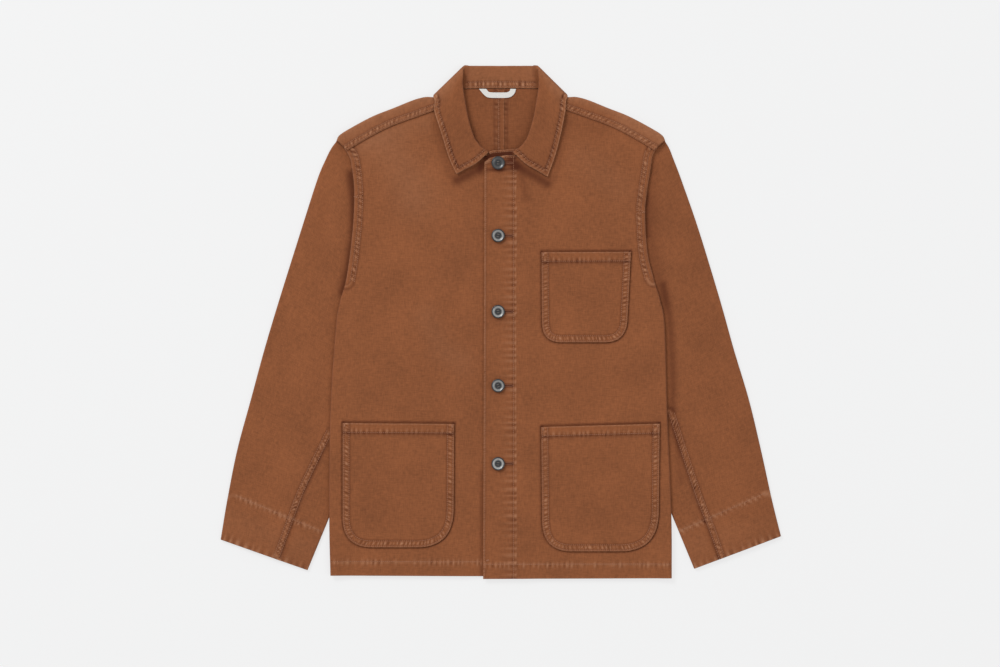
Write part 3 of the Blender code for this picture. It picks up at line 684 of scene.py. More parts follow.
canvas = canvas_material("washed_canvas", CANVAS)
sewing_thread = plain_finish("sewing_thread", THREAD, 0.7, 2400, 0.25)
buttonhole_thread = plain_finish("buttonhole_thread", BUTTONHOLE_THREAD, 0.75, 2400, 0.3)
button_thread = plain_finish("button_thread", BUTTON_THREAD, 0.75, 2400, 0.3)
button_horn = plain_finish("smoked_horn", HORN, 0.34, 420, 0.45, 0.35, HORN_RIM_HIGHLIGHT)
loop_tape = plain_finish("woven_tape", TAPE, 0.85, 1500, 0.08)
print("materials:", [m.name for m in bpy.data.materials if m.users])

# %% [markdown]
# ## From points to cloth
#
# A panel is a grid of points on its outer face. Solidify gives it the thickness of the
# canvas, inwards. Each point also carries two marks: how far it is made pale, by wear and
# by painted light, and how far it is made dark, by deep colour and by painted shade.

# %% Turn a grid of points into a piece of cloth
def activate(item):
    bpy.ops.object.select_all(action="DESELECT")
    item.select_set(True)
    bpy.context.view_layer.objects.active = item


def grid_quads(keep, ring=False):
    """Quads of a grid, and the row and column of each quad's corners."""
    rows, cols = keep.shape
    number = np.full((rows, cols), -1)
    number[keep] = np.arange(keep.sum())
    row, col = np.meshgrid(np.arange(rows - 1), np.arange(cols if ring else cols - 1), indexing="ij")
    row, col = row.ravel(), col.ravel()
    corner_rows = np.stack([row, row, row + 1, row + 1], 1)
    corner_cols = np.stack([col, col + 1, col + 1, col], 1)
    quads = number[corner_rows, corner_cols % cols]
    whole = (quads >= 0).all(1)
    return quads[whole], corner_rows[whole], corner_cols[whole]


def wound(quads, rows, cols, outwards):
    """The same quads, wound the other way if they look inwards."""
    if outwards:
        return quads, rows, cols
    return quads[:, ::-1], rows[:, ::-1], cols[:, ::-1]


def facing_up(points, quads):
    """The upward part of each point's normal."""
    a = points[quads[:, 2]] - points[quads[:, 0]]
    b = points[quads[:, 3]] - points[quads[:, 1]]
    normal = np.cross(a, b)
    total = np.zeros_like(points)
    for k in range(4):
        np.add.at(total, quads[:, k], normal)
    return total[:, 2] / np.maximum(np.linalg.norm(total, axis=1), 1e-9)


def cloth_piece(name, points, quads, uv, finish=canvas, worn_and_lit=None, dark=None,
                thickness=CLOTH, plies=None, even=True):
    mesh = bpy.data.meshes.new(name)
    mesh.from_pydata((points * MM).tolist(), [], quads.tolist())
    threads = mesh.uv_layers.new(name="cloth")
    threads.data.foreach_set("uv", (uv.reshape(-1, 2) * MM).astype(np.float32).ravel())
    for label, values in (("worn_and_lit", worn_and_lit), ("dark", dark)):
        mark = mesh.attributes.new(label, "FLOAT", "POINT")
        values = np.zeros(len(points)) if values is None else np.clip(values, 0, 1)
        mark.data.foreach_set("value", values.astype(np.float32))
    mesh.polygons.foreach_set("use_smooth", np.ones(len(quads), bool))
    mesh.materials.append(finish)
    piece = linked(name, mesh)
    wall = piece.modifiers.new("cloth", "SOLIDIFY")
    wall.thickness = thickness * MM
    wall.offset = -1.0
    wall.use_even_offset = even
    if plies is not None:
        group = piece.vertex_groups.new(name="plies")
        for level in np.unique(plies.round(2)):
            where = np.nonzero(plies.round(2) == level)[0].tolist()
            group.add(where, float(level), "REPLACE")
        wall.vertex_group = "plies"
    activate(piece)
    bpy.ops.object.modifier_apply(modifier="cloth")
    return piece


def cloth_area(piece):
    """Area of one face of a piece of cloth, in square metres."""
    return sum(face.area for face in piece.data.polygons) / 2


def tell(piece):
    print(piece.name, len(piece.data.polygons), "faces,", round(cloth_area(piece), 4), "square metres")


def flat_uv(grid):
    """Places on the flat cut: across each row, and along its middle column."""
    across = np.linalg.norm(np.diff(grid, axis=1), axis=2).cumsum(1)
    across = np.concatenate([np.zeros((len(grid), 1)), across], 1)
    middle = grid[:, grid.shape[1] // 2]
    along = np.repeat(lengths_of(middle)[:, None], grid.shape[1], 1)
    return np.stack([across, along], 2)


# %% [markdown]
# ## Seams
#
# A seam is a line with one or two rows of stitching beside it. The turned-in cloth
# makes the band thicker, the needle pulls a groove along each row, and washing gathers
# the band into short uneven puckers whose tops rub pale. Painted shade darkens the pucker
# hollows and a line just beyond the band, and the rows are darker with deep colour and
# painted shade in the groove.

# %% Seams: raised band, stitched grooves, puckers, and painted shade beside them
NEEDLE_WIDE = 0.95        # half width of the groove that a row of stitches pulls
# how the pucker tops pale as wear, and how strongly painted shade fills their hollows
TOPS_RUBBED, HOLLOWS_SHADED, RIPPLE_POWER = 1.45, 1.1, 1.3     # how sharply puckers show
USUAL_SEAM = dict(lift=0.5, pucker=0.4, spacing=6.5, reach=2.5, slant=0.0, edge=0.8, wear=0.75,
                  groove=0.35, dark=0.45, seed=1, inside=None)


def seam(line, rows, **own):
    """A seam line, the gaps from it to its rows of stitches, and its own values.

    lift, pucker and groove are heights; spacing, reach and slant place the puckers; edge,
    wear and dark are marks: wear also sets the painted shade in the pucker hollows, and
    dark the deep colour at the rows and a painted shadow beyond the band; inside tells
    where the band lies, if only on one side.
    """
    return {**USUAL_SEAM, "line": np.asarray(line, float), "rows": rows, **own}


def relief(points, seams):
    """Rise in millimetres, and the pale and dark marks at plane points; the dark mark holds painted shade.
    """
    rise, worn_and_lit, dark = (np.zeros(len(points)) for _ in range(3))
    for s in seams:
        first, last = s["rows"][0], s["rows"][-1]
        gap, along = measure(s["line"], points, last + 40.0)
        on = np.ones(len(points)) if s["inside"] is None else s["inside"](points)
        centre = (first + last) / 2 if last > first else first - 0.3 * s["reach"]
        window = on * bell(gap - centre, 0.30 * (last - first) + s["reach"])
        drift = 1.3 * waves(along, 3.7 * s["spacing"], s["seed"] + 100)
        force = 0.80 + 0.3 * waves(along, 5.3 * s["spacing"], s["seed"] + 200)
        ripple = force * waves(along + drift + s["slant"] * gap, s["spacing"], s["seed"])
        band = on * (1 - smoothstep(last + 0.3, last + 2.6, gap))
        needle = sum(bell(gap - row, NEEDLE_WIDE) for row in s["rows"]) * on
        pulled = np.clip(needle, 0, 1)
        tops = np.clip(TOPS_RUBBED * ripple, 0, 1) ** RIPPLE_POWER
        hollows = np.clip(-HOLLOWS_SHADED * ripple, 0, 1) ** RIPPLE_POWER
        brim = on * bell(gap - 0.7, 0.9)
        rise += s["lift"] * band - s["groove"] * needle + s["pucker"] * ripple * window
        rise += 0.25 * s["edge"] * brim
        worn_and_lit += s["wear"] * window * tops * (1 - 0.5 * pulled)
        worn_and_lit += s["edge"] * brim * (0.6 + 0.4 * ripple)
        # the rows: deep colour at the stitching, and painted shade in the needle's groove
        dark += s["dark"] * pulled * (0.9 - 0.4 * ripple)
        # painted shadow just beyond the raised band
        dark += 0.6 * s["dark"] * on * bell(gap - last - 1.6, 1.3)
        # painted shade in the pucker hollows
        dark += 0.95 * s["wear"] * window * hollows
    return rise, np.clip(worn_and_lit, 0, 1), np.clip(dark, 0, 1)


def shade(points, bands):
    """Bands (line, width, amount): darker above 0, paler below 0. Most are painted shade and painted
    light, a few are pale rows of stitching.
    """
    total = np.zeros(len(points))
    for line, width, amount in bands:
        gap, _ = measure(np.asarray(line, float), points, 3.0 * width)
        total += amount * bell(gap, width)
    return total


def marked(points, seams, bands):
    """The pale and dark marks from seams, and from bands of painted shade and painted light."""
    _, worn_and_lit, dark = relief(points[:, :2], seams)
    # tone: painted shade above 0, painted light below 0
    tone = shade(points[:, :2], bands)
    return worn_and_lit + np.clip(-tone, 0, 1), dark + np.clip(tone, 0, 1)


def signed(side, line):
    return np.asarray(line, float)[:, :2] * (SIGN[side], 1)


def offset(line, gap, towards=(0.0, 0.0)):
    return line + inward_normals(line, towards) * gap


def armhole(side):
    line = through(BODY_EDGE[side])
    return signed(side, line[line[:, 1] > UNDERARM[side]])


def pocket_lines(size, inset=0.0, steps=14):
    """Top, outer side, bottom and inner side of a pocket, each from its first corner."""
    (ix, iy), (ox, oy) = size["inner"], size["outer"]
    top_in, top_out = np.array([ix + inset, iy - inset]), np.array([ox - inset, oy - inset])
    bottom = size["bottom"] + inset
    low_in = np.array([ix + size["taper"][0] + inset, bottom])
    low_out = np.array([ox - size["taper"][1] - inset, bottom])
    turns = []
    for top, corner, reach, way in ((top_in, low_in, size["corner"][0], 1),
                                    (top_out, low_out, size["corner"][1], -1)):
        reach = max(reach - 0.9 * inset, 0.5)
        start = corner + (top - corner) / np.linalg.norm(top - corner) * reach
        stop = corner + np.array([way * 0.95 * reach, 0])
        t = np.linspace(0, 1, 2 * steps + 1)[:, None]
        turns.append((1 - t) ** 2 * start + 2 * t * (1 - t) * corner + t * t * stop)
    side_in = np.vstack([top_in, turns[0][:steps + 1]])
    side_out = np.vstack([top_out, turns[1][:steps + 1]])
    foot = np.vstack([turns[0][steps:], turns[1][steps:][::-1]])
    sign = np.array([SIGN[size["side"]], 1])
    return [line * sign for line in (np.vstack([top_in, top_out]), side_out, foot, side_in)]


def pocket_rim(size, inset=0.0):
    """The sewn edge of a pocket: down one side, along the bottom, up the other."""
    _, outer, foot, inner = pocket_lines(size, inset)
    return np.vstack([inner, foot[1:], outer[::-1][1:]])


print("a pocket's sewn edge, mm:", lengths_of(pocket_rim(POCKETS["pocket_chest"]))[-1].round(1))


# %% Seams of the fronts
PLACKET_EDGE = np.array([HEM_FRONT["left"], NECK_END["left"][-1]], float)
PLACKET_SEAM = np.array([(22.7, -385), (22.7, 262)], float)
HEM_DEEP = 21.7           # from the hem's fold up to its row of stitches
ARMHOLE_SEAM = dict(rows=(6.2, 12.6), pucker=0.95, spacing=6.8, reach=1.0, edge=0.3, wear=1.0)
HEM_SEAM = dict(rows=(HEM_DEEP,), lift=0.45, pucker=0.9, spacing=7.2, reach=4.2, edge=0.3,
                wear=0.6, dark=0.0)
SEAMS = {
    "front_right": [
        seam(armhole("right"), slant=0.6, seed=11, **ARMHOLE_SEAM),
        seam([(26, -381.3), (-255.6, -380)], seed=12, **HEM_SEAM),
        seam(signed("right", [(20.6, 249.5), *NECK_END["right"]]), (3.0,), lift=0.4, pucker=0.2,
             edge=1.0, wear=0.3, groove=0.2, dark=0.2, seed=13),
    ],
    "front_left": [
        seam(armhole("left"), slant=-0.6, seed=21, **ARMHOLE_SEAM),
        seam([(-26.5, -385), (256.5, -384)], seed=22, **HEM_SEAM),
        seam(PLACKET_EDGE, (2.2,), lift=0.2, pucker=0.12, spacing=5.0, reach=1.5, edge=0.45,
             wear=0.4, groove=0.25, dark=0.2, seed=23),
        seam(PLACKET_SEAM, (3.6,), lift=0.3, pucker=0.8, spacing=10.0, reach=15.0, edge=0.35,
             wear=0.45, dark=0.3, seed=24, inside=lambda p: 1.0 * (p[:, 0] < 23.0)),
        seam([NECK_END["left"][-1], NECK_END["left"][0], (20.6, 249.5)], (2.5,), lift=0.2,
             pucker=0.15, edge=1.5, wear=0.3, dark=0.2, seed=25),
    ],
}

# %% Painted shade and painted light on the fronts, and paler rows of stitching
PAINTED_SHADING_AND_WEAR = {
    "front_right": [
        # front right: painted shadows in the gap at the neck, under the collar's point, beside its leaf
        # and beside the placket; painted light on the shoulder and chest
        ([(-24, 248.5), (-4, 251.5), (15, 252.8)], 4.0, 1.3),
        ([(-66, 213), (-42, 225), (-22, 239)], 7.5, 0.75), ([(-30, 240), (-30, 224)], 5.0, 0.35),
        ([(-98, 300), (-84, 244), (-76, 220)], 6.0, 0.2),
        ([(-204, 292), (-150, 236), (-128, 190)], 34.0, -0.12),
        ([(-215, 272), (-150, 294), (-100, 306)], 20.0, -0.10),
        ([(-112, 8), (-90, -40), (-60, -60)], 20.0, -0.07),
        ([(-29, -225), (-29.5, -381)], 2.4, 0.4),
    ],
    "front_left": [
        # front left: painted shadows under the collar's point and beside its leaf; painted light and
        # painted shade on the chest and the body
        ([(70, 208), (42, 224), (16, 243)], 7.5, 0.75), ([(25, 230), (32, 214), (38, 186)], 7.0, 0.3),
        ([(98, 300), (88, 248), (80, 216)], 6.0, 0.2),
        ([(120, 246), (178, 200)], 24.0, -0.05),
        ([(96, 302), (150, 288)], 13.0, 0.12),
        ([(110, -66), (205, -84)], 45.0, 0.05),
    ],
}
HEM_ROW = {"right": (-29, 0), "left": (-24, 3)}      # inner end, and how much lower it lies
# a painted shadow under the shoulder strip's edge, and a paler row of stitching along the hem
for side, (inner, lower) in HEM_ROW.items():
    PAINTED_SHADING_AND_WEAR["front_" + side].append((signed(side, through(SHOULDER_SEAM)), 1.6, 0.45))
    hem_row = np.array([(inner, HEM_DEEP - 381), (SIGN[side] * 254, HEM_DEEP - 382)])
    PAINTED_SHADING_AND_WEAR["front_" + side].append((hem_row - (0, lower), 1.6, -0.25))
# painted shade in each buttonhole's slit, and a painted shadow under each button
for up in BUTTON_UPS:
    PAINTED_SHADING_AND_WEAR["front_left"] += [([(7, up), (17, up)], 2.5, 0.9),
                             ([(BUTTON_X, up - 3), (BUTTON_X + 1, up - 3)], 9.5, 0.5)]
# painted shade round the top button
PAINTED_SHADING_AND_WEAR["front_left"] += [([(-20, 229), (0, 228), (22, 231)], 2.6, 0.7),
                         ([(-20, 240), (20, 241)], 9.0, 0.14), ([(8, 239), (17, 238)], 4.0, 0.4)]
# painted shadows above each pocket's mouth and round its sewn edge
for size in POCKETS.values():
    top = pocket_lines(size)[0]
    PAINTED_SHADING_AND_WEAR["front_" + size["side"]] += [(top + (0, 1.6), 2.0, 0.8), (pocket_rim(size), 1.3, 0.12)]
    SEAMS["front_" + size["side"]].append(
        seam(pocket_rim(size), (0.0,), lift=-0.25, pucker=0.1, reach=2.0, edge=0.0, wear=0.3,
             groove=0.3, dark=0.6, seed=31))
print("seams on the fronts:", {name: len(found) for name, found in SEAMS.items()})


# %% How high the outer face of a front is at any place
EDGE_FADE, NECK_FADE = (1, 26), (4, 40)      # where creases fade, from the line inwards
PLACKET_RUCK = 1.5                           # how much fuller the placket's creases are


def room_to_move(points, side):
    """Creases fade out towards the side seam, the armhole and the neck."""
    gap, _ = measure(signed(side, through(BODY_EDGE[side], 6)), points)
    neck, _ = measure(signed(side, through(FRONT_NECK, 6)), points)
    return smoothstep(*EDGE_FADE, gap) * (0.25 + 0.75 * smoothstep(*NECK_FADE, neck))


def fullness(points, side):
    """Creases of the fronts, which the pockets and buttons on them share."""
    return crease_rise(points, FRONT_CREASES) * room_to_move(points, side)


def front_height(points, side):
    own, _, _ = relief(points, SEAMS["front_" + side])
    ruck = PLACKET_RUCK * crease_rise(points, PLACKET_CREASES) if side == "left" else 0.0
    return front_level(points, side) + fullness(points, side) + own + ruck


print("left front's height at the chest, mm:", front_height(np.array([[120.0, 150.0]]), "left").round(2))

# %% [markdown]
# ## The fronts
#
# A front is a patch between its side edge, hem, centre edge and the shoulder and neck.
# Its side edge rolls over to meet the back, and its top runs on under the strip that
# the back sends over the shoulder. The rows are close enough to carry the puckers.

# %% The side edge of a panel, and the cloth that rolls round it
FRONT_EDGE = ((3, 0.9), (30, 1.9), (900, 2.15))      # rows up the edge: until, step
BACK_EDGE = ((3, 1.2), (30, 2.6), (900, 3.2))
FRONT_ROLL = (-23, -8, 8, 24, 42, 60, 76)            # degrees round the edge
BACK_ROLL = (-35, -50, -66, -80)


def dense_edge(side, zones):
    line = through(BODY_EDGE[side])
    v = graded(lengths_of(line)[-1], zones)
    edge = at_shares(line, v)
    normal = inward_normals(edge)
    return v, edge, normal


def rolled(edge, normal, angles, side):
    """Columns round the side edge: rows x angles x 3."""
    radius = BODY / 2
    axis = edge + normal * radius
    middle = back_level(axis)[:, None] + radius
    turn = np.radians(angles)[None, :]
    plan = axis[:, None] - normal[:, None] * (radius * np.cos(turn))[..., None]
    z = middle + radius * np.sin(turn)
    return np.concatenate([plan * (SIGN[side], 1), z[..., None]], 2)


print("rows up a front and up a back:", *(len(dense_edge("left", zones)[0])
                                          for zones in (FRONT_EDGE, BACK_EDGE)))


# %% The grid of a front
RUN_ON = (2.5, 5.0, 8.0)      # rows of cloth under the strip, beyond the shoulder seam


def front_panel(side):
    v, edge, normal = dense_edge(side, FRONT_EDGE)
    left = edge + normal * BODY / 2
    seam_line = through(SHOULDER_SEAM)
    seam_line = np.vstack([left[-1], seam_line[lengths_of(seam_line) > 12]])
    neck_line = np.vstack([through(FRONT_NECK)[1:], NECK_END[side]])
    top_line = np.vstack([seam_line, neck_line])
    seam_length, total = lengths_of(seam_line)[-1], lengths_of(top_line)[-1]
    u = graded(total, ((2, 1.0), (18, 2.0), (total - 80, 3.1), (total - 54, 2.4),
                       (total - 2, 2.0), (total, 1.0)))
    u[np.argmin(abs(u - seam_length / total))] = seam_length / total
    top = at_shares(top_line, u)
    plan = cut_out(left, top, np.array(HEM_FRONT[side], float), v) * (SIGN[side], 1)
    flat = plan.reshape(-1, 2)
    z = front_height(flat, side).reshape(plan.shape[:2])
    grid = np.concatenate([plan, z[..., None]], 2)
    roll = rolled(edge, normal, FRONT_ROLL, side)
    grid = np.concatenate([roll, grid], 1)
    # the cloth runs on under the shoulder strip
    count = int((u * total <= seam_length + 1e-6).sum())
    fold = at_shares(through(SHOULDER_FOLD), u[:count] * total / seam_length)
    rise = fold - top[:count]
    rise /= np.linalg.norm(rise, axis=1)[:, None]
    extra = np.full((len(RUN_ON), grid.shape[1], 3), np.nan)
    for k, run in enumerate(RUN_ON):
        lap = (top[:count] + rise * run * np.where(np.arange(count) < 3, 0.6, 1.0)[:, None])
        lap = lap * (SIGN[side], 1)
        level = front_level(lap) + fullness(lap, side)
        extra[k, roll.shape[1]:roll.shape[1] + count] = np.column_stack([lap, level])
    extra[:, roll.shape[1]] = np.nan
    return np.concatenate([grid, extra], 0)


def panel_piece(name, grid, marks, up=True, **cloth):
    keep = ~np.isnan(grid[..., 0])
    quads, rows, cols = grid_quads(keep)
    points = grid[keep]
    rise = facing_up(points, quads)
    quads, rows, cols = wound(quads, rows, cols, (rise.sum() > 0) == up)
    worn_and_lit, dark = marks(points)
    uv = grid[rows, cols][..., :2]
    return cloth_piece(name, points, quads, uv, worn_and_lit=worn_and_lit, dark=dark, **cloth)


def front_marks(points, side):
    return marked(points, SEAMS["front_" + side], PAINTED_SHADING_AND_WEAR["front_" + side])


front_grids = {side: front_panel(side) for side in SIGN}
print("grids of the fronts:", [grid.shape for grid in front_grids.values()])

# %% Both fronts
pieces = {}
for side, grid in front_grids.items():
    wall, plies = CLOTH, None
    if side == "left":      # the placket is doubled
        out = grid[..., 0][~np.isnan(grid[..., 0])]
        wall, plies = DOUBLED, np.where(out < PLACKET_INNER, 1.0, CLOTH / DOUBLED)
    pieces["front_" + side] = panel_piece(
        "front_panel_" + side, grid, lambda p: front_marks(p, side),
        thickness=wall, plies=plies)
    tell(pieces["front_" + side])

# %% [markdown]
# ## The backs
#
# The two halves meet at a felled seam down the centre. Each half turns up at the side,
# and over the shoulder it comes forward as a strip that is sewn down on the front.

# %% Seams of the backs, painted light on the strip, painted shadow inside the neck
STRIP_SEAM = {side: signed(side, through(SHOULDER_SEAM)) for side in SIGN}
BACK_CENTRE = np.array([(0, -381), (0, 351)], float)
SEAMS_BACK = {side: [
    seam(BACK_CENTRE, (1.8, 8.5), lift=0.3, pucker=0.28, spacing=6.8, reach=2.5, edge=0.2,
         wear=0.5, seed=41 + k),
    seam([(0, -381), (SIGN[side] * 256, -382)], (HEM_DEEP,), lift=0.3, pucker=0.3, spacing=7,
         reach=6, edge=0.4, wear=0.5, seed=43 + k),
] for k, side in enumerate(SIGN)}
NECK_PAINTED_SHADOW = 0.17          # painted shadow inside the neck
SEAMS_STRIP = {side: [
    seam(STRIP_SEAM[side], (2.2, 8.4), lift=0.45, pucker=0.9, spacing=6.2, reach=0.6,
         edge=0.3, wear=0.85, seed=51 + k, slant=0.5 * SIGN[side]),
] for k, side in enumerate(SIGN)}
# the strip is paler along the shoulder fold, and painted light lightens both of its ends
STRIP_WEAR_AND_PAINTED_LIGHT = {side: [(signed(side, through(SHOULDER_FOLD)), 9.0, -0.22)] for side in SIGN}
STRIP_WEAR_AND_PAINTED_LIGHT["right"] += [([(-215, 275), (-150, 300), (-100, 312)], 18.0, -0.12)]
STRIP_WEAR_AND_PAINTED_LIGHT["left"] += [([(182, 296), (238, 270)], 14.0, -0.16)]


print("rows of stitches on a strip:", SEAMS_STRIP["left"][0]["rows"])


# %% The grid of a back
ROLL_OVER = range(-75, 91, 15)      # degrees round the shoulder fold
STRIP_ROWS, STRIP_JOIN = 14, 0.35   # rows down the strip, and where its own height begins


def strip_height(points, side):
    own, _, _ = relief(points, SEAMS_STRIP[side])
    return front_level(points) + fullness(points, side) + GAP + CLOTH + own - 0.1


def back_panel(side):
    v, edge, normal = dense_edge(side, BACK_EDGE)
    fold_line = through(SHOULDER_FOLD)
    u = graded(lengths_of(fold_line)[-1], ((900, 3.0),))
    fold = at_shares(fold_line, u)
    inward = inward_normals(fold)
    ending = smoothstep(0.93, 1.0, u)[:, None]
    inward = inward * (1 - ending) - FOLD_OUT[:2] * ending
    inward /= np.linalg.norm(inward, axis=1)[:, None]
    radius = SHOULDER / 2
    neck = at_shares(through(BACK_NECK), graded(1, ((1, 1 / 32),)))
    axis = fold + inward * radius
    axis[-1] = neck[0]
    left = edge + normal * BODY / 2
    added = (np.arange(5) + 1)[:, None] / 5
    left = np.vstack([left, left[-1] + (axis[0] - left[-1]) * added])
    v = lengths_of(left) / lengths_of(left)[-1]
    top = np.vstack([axis, neck[1:]])
    plan = cut_out(left, top, np.array(HEM_BACK, float), v) * (SIGN[side], 1)
    flat = plan.reshape(-1, 2)
    away = smoothstep(2, 40, np.abs(flat[:, 0] - SIGN[side] * 250))
    soft = crease_rise(flat, BACK_CREASES) * away * smoothstep(-375, -330, flat[:, 1])
    soft = np.clip(soft, 0, None) * (1 - smoothstep(170, 240, flat[:, 1]))
    z = back_level(plan) + soft.reshape(plan.shape[:2])
    grid = np.concatenate([plan, z[..., None]], 2)
    roll = rolled(edge, normal, BACK_ROLL, side)
    tip = axis[0] + (np.array(SHOULDER_POINT) - axis[0]) * 0.6
    level = back_level(tip)
    last = [[*(tip + (axis[0] - tip) * k / 5) * (SIGN[side], 1), level + 1.0 - 0.22 * k]
            for k in range(len(BACK_ROLL))]
    ending = roll[-1] + (np.array(last) - roll[-1]) * added[..., None]
    grid = np.concatenate([np.concatenate([roll, ending], 0), grid], 1)
    # over the shoulder, then down the front to the forward seam
    count, before = len(axis), len(BACK_ROLL)
    rows = []
    for angle in ROLL_OVER:
        turn = math.radians(angle)
        reach = (axis - inward * radius * math.cos(turn)) * (SIGN[side], 1)
        height = back_level(axis) + radius * (1 + math.sin(turn))
        rows.append(np.column_stack([reach, height]))
    seam_line = at_shares(through(SHOULDER_SEAM), u)
    for k in range(1, STRIP_ROWS + 1):
        at = (axis + (seam_line - axis) * k / STRIP_ROWS) * (SIGN[side], 1)
        join = smoothstep(0, STRIP_JOIN, k / STRIP_ROWS)
        plain = front_level(at) + GAP + CLOTH
        rows.append(np.column_stack([at, plain + (strip_height(at, side) - plain) * join]))
    extra = np.full((len(rows), grid.shape[1], 3), np.nan)
    for k, row in enumerate(rows):
        extra[k, before:before + count] = row
    return np.concatenate([grid, extra], 0)


def back_marks(points, side):
    """The strip carries its own marks, the rest those of the back's underside, with painted shadow inside
    the neck.
    """
    on_top = points[:, 2] > back_level(points) + SHOULDER / 2
    _, worn_and_lit, dark = relief(points[:, :2], SEAMS_BACK[side])
    strip_worn_and_lit, dark_strip = marked(points, SEAMS_STRIP[side], STRIP_WEAR_AND_PAINTED_LIGHT[side])
    # painted shadow inside the neck
    neck = NECK_PAINTED_SHADOW * smoothstep(225, 262, points[:, 1])
    neck = neck * (1 - smoothstep(60, 120, np.abs(points[:, 0])))
    return np.where(on_top, strip_worn_and_lit, worn_and_lit), np.where(on_top, dark_strip, dark + neck)


# %% Both backs
for side in SIGN:
    pieces["back_" + side] = panel_piece(
        "back_panel_" + side, back_panel(side), lambda p: back_marks(p, side), up=False)
    tell(pieces["back_" + side])

# %% [markdown]
# ## The sleeves
#
# Each sleeve is one piece of cloth, folded flat with its fold outwards. Its upper end
# lies under the body. On the front it shows a felled seam that runs down to the cuff,
# and the cuff is a deep turned-up hem with one row of stitching.

# %% Seams of the sleeves, and their painted shade and paler rows
CUFF_DEEP, CUFF_ROW = {"right": 62.0, "left": 61.0}, 11.0
FELL_LINE = {"right": ((330.5, -352.5), (316, -312), (296, -258), (271, -204), (252, -166)),
             "left": ((327, -356), (313, -316), (292, -262), (268, -190), (251, -138))}
SEAMS_SLEEVE = {}


def outside_of(line, way):
    """Where points lie outwards of a line that runs up the sleeve."""
    return lambda p: 1.0 * ((p[:, 0] - np.interp(p[:, 1], line[:, 1], line[:, 0])) * way > -0.4)


def above_of(line):
    """Where points lie on the body's side of a straight line."""
    return lambda p: 1.0 * ((p - line[0]) @ inward_normals(line)[0] > 0)


for k, side in enumerate(SIGN):
    cuff = signed(side, np.array([SLEEVE_OUTER[side][-1], CUFF_IN[side]], float))
    fell = signed(side, through(FELL_LINE[side]))
    near = offset(cuff, CUFF_DEEP[side] - np.array([[3.0], [CUFF_ROW]]))
    SEAMS_SLEEVE[side] = [
        seam(near, (CUFF_ROW,), lift=0.0, pucker=0.9, spacing=8.0, reach=4.0, edge=0.0, wear=0.7,
             dark=0.0, slant=-0.5 * SIGN[side], seed=61 + k, inside=above_of(near)),
        seam(cuff, (0.5,), lift=0.0, pucker=0.55, spacing=11, reach=9, edge=0.3, wear=0.7,
             groove=0.0, dark=0.0, seed=63 + k),
        seam(fell, (1.6, 9.6), lift=0.55, pucker=1.1, spacing=6.2, reach=0.8, edge=0.4,
             wear=1.0, slant=0.7 * SIGN[side], seed=65 + k,
             inside=outside_of(fell, SIGN[side])),
        seam(fell, (0.0,), lift=-0.5, pucker=0.0, reach=1.5, edge=0.0, wear=0.0, groove=0.5,
             dark=0.5, seed=67 + k),
    ]
    # painted shade beside the felled seam, a paler row of stitching above the cuff, and paler cloth near
    # the cuff
    PAINTED_SHADING_AND_WEAR["sleeve_" + side] = [(fell - (SIGN[side] * 3.0, 0), 3.6, 0.08),
                                (offset(near, CUFF_ROW), 1.7, -0.30),
                                (offset(cuff, 30.0), 24.0, -0.05)]
# painted shadows on the sleeves beside the body's edge; the wide band makes the left sleeve darker as
# painted shade
PAINTED_SHADING_AND_WEAR["sleeve_right"] += [([(-226, 222), (-221, 180), (-221, 130), (-229, 80), (-238, 45)], 7.0, 0.75)]
PAINTED_SHADING_AND_WEAR["sleeve_left"] += [([(222, 232), (225, 170), (228, 100), (243, 30)], 13.0, 0.26),
                          ([(244, 56), (254, 4), (258, -60), (258, -132)], 6.5, 0.5),
                          ([(219, 190), (218, 160), (220, 130)], 5.0, 0.4),
                          ([(262, -150), (270, -240)], 6.0, 0.25),
                          ([(262, 240), (330, 20), (390, -240)], 60.0, 0.07)]


print("seams on a sleeve:", len(SEAMS_SLEEVE["left"]))


# %% The rings of a sleeve
def crossing(a, b, line):
    """Share of the way from a to b where it meets the body's edge, or 1."""
    along, step, apart = b - a, np.diff(line, axis=0), line[:-1] - a
    size = along[0] * step[:, 1] - along[1] * step[:, 0]
    size = np.where(abs(size) < 1e-9, 1e-9, size)
    t = (apart[:, 0] * step[:, 1] - apart[:, 1] * step[:, 0]) / size
    s = (apart[:, 0] * along[1] - apart[:, 1] * along[0]) / size
    hit = (t >= 0) & (t <= 1) & (s >= 0) & (s <= 1)
    return float(t[hit].min()) if hit.any() else 1.0


SLEEVE_LEAN = 1.15        # the inner edge gains length later than the outer one
TURN_STEPS, UNDER_STEPS = 9, 34      # points round each edge, and across the underside


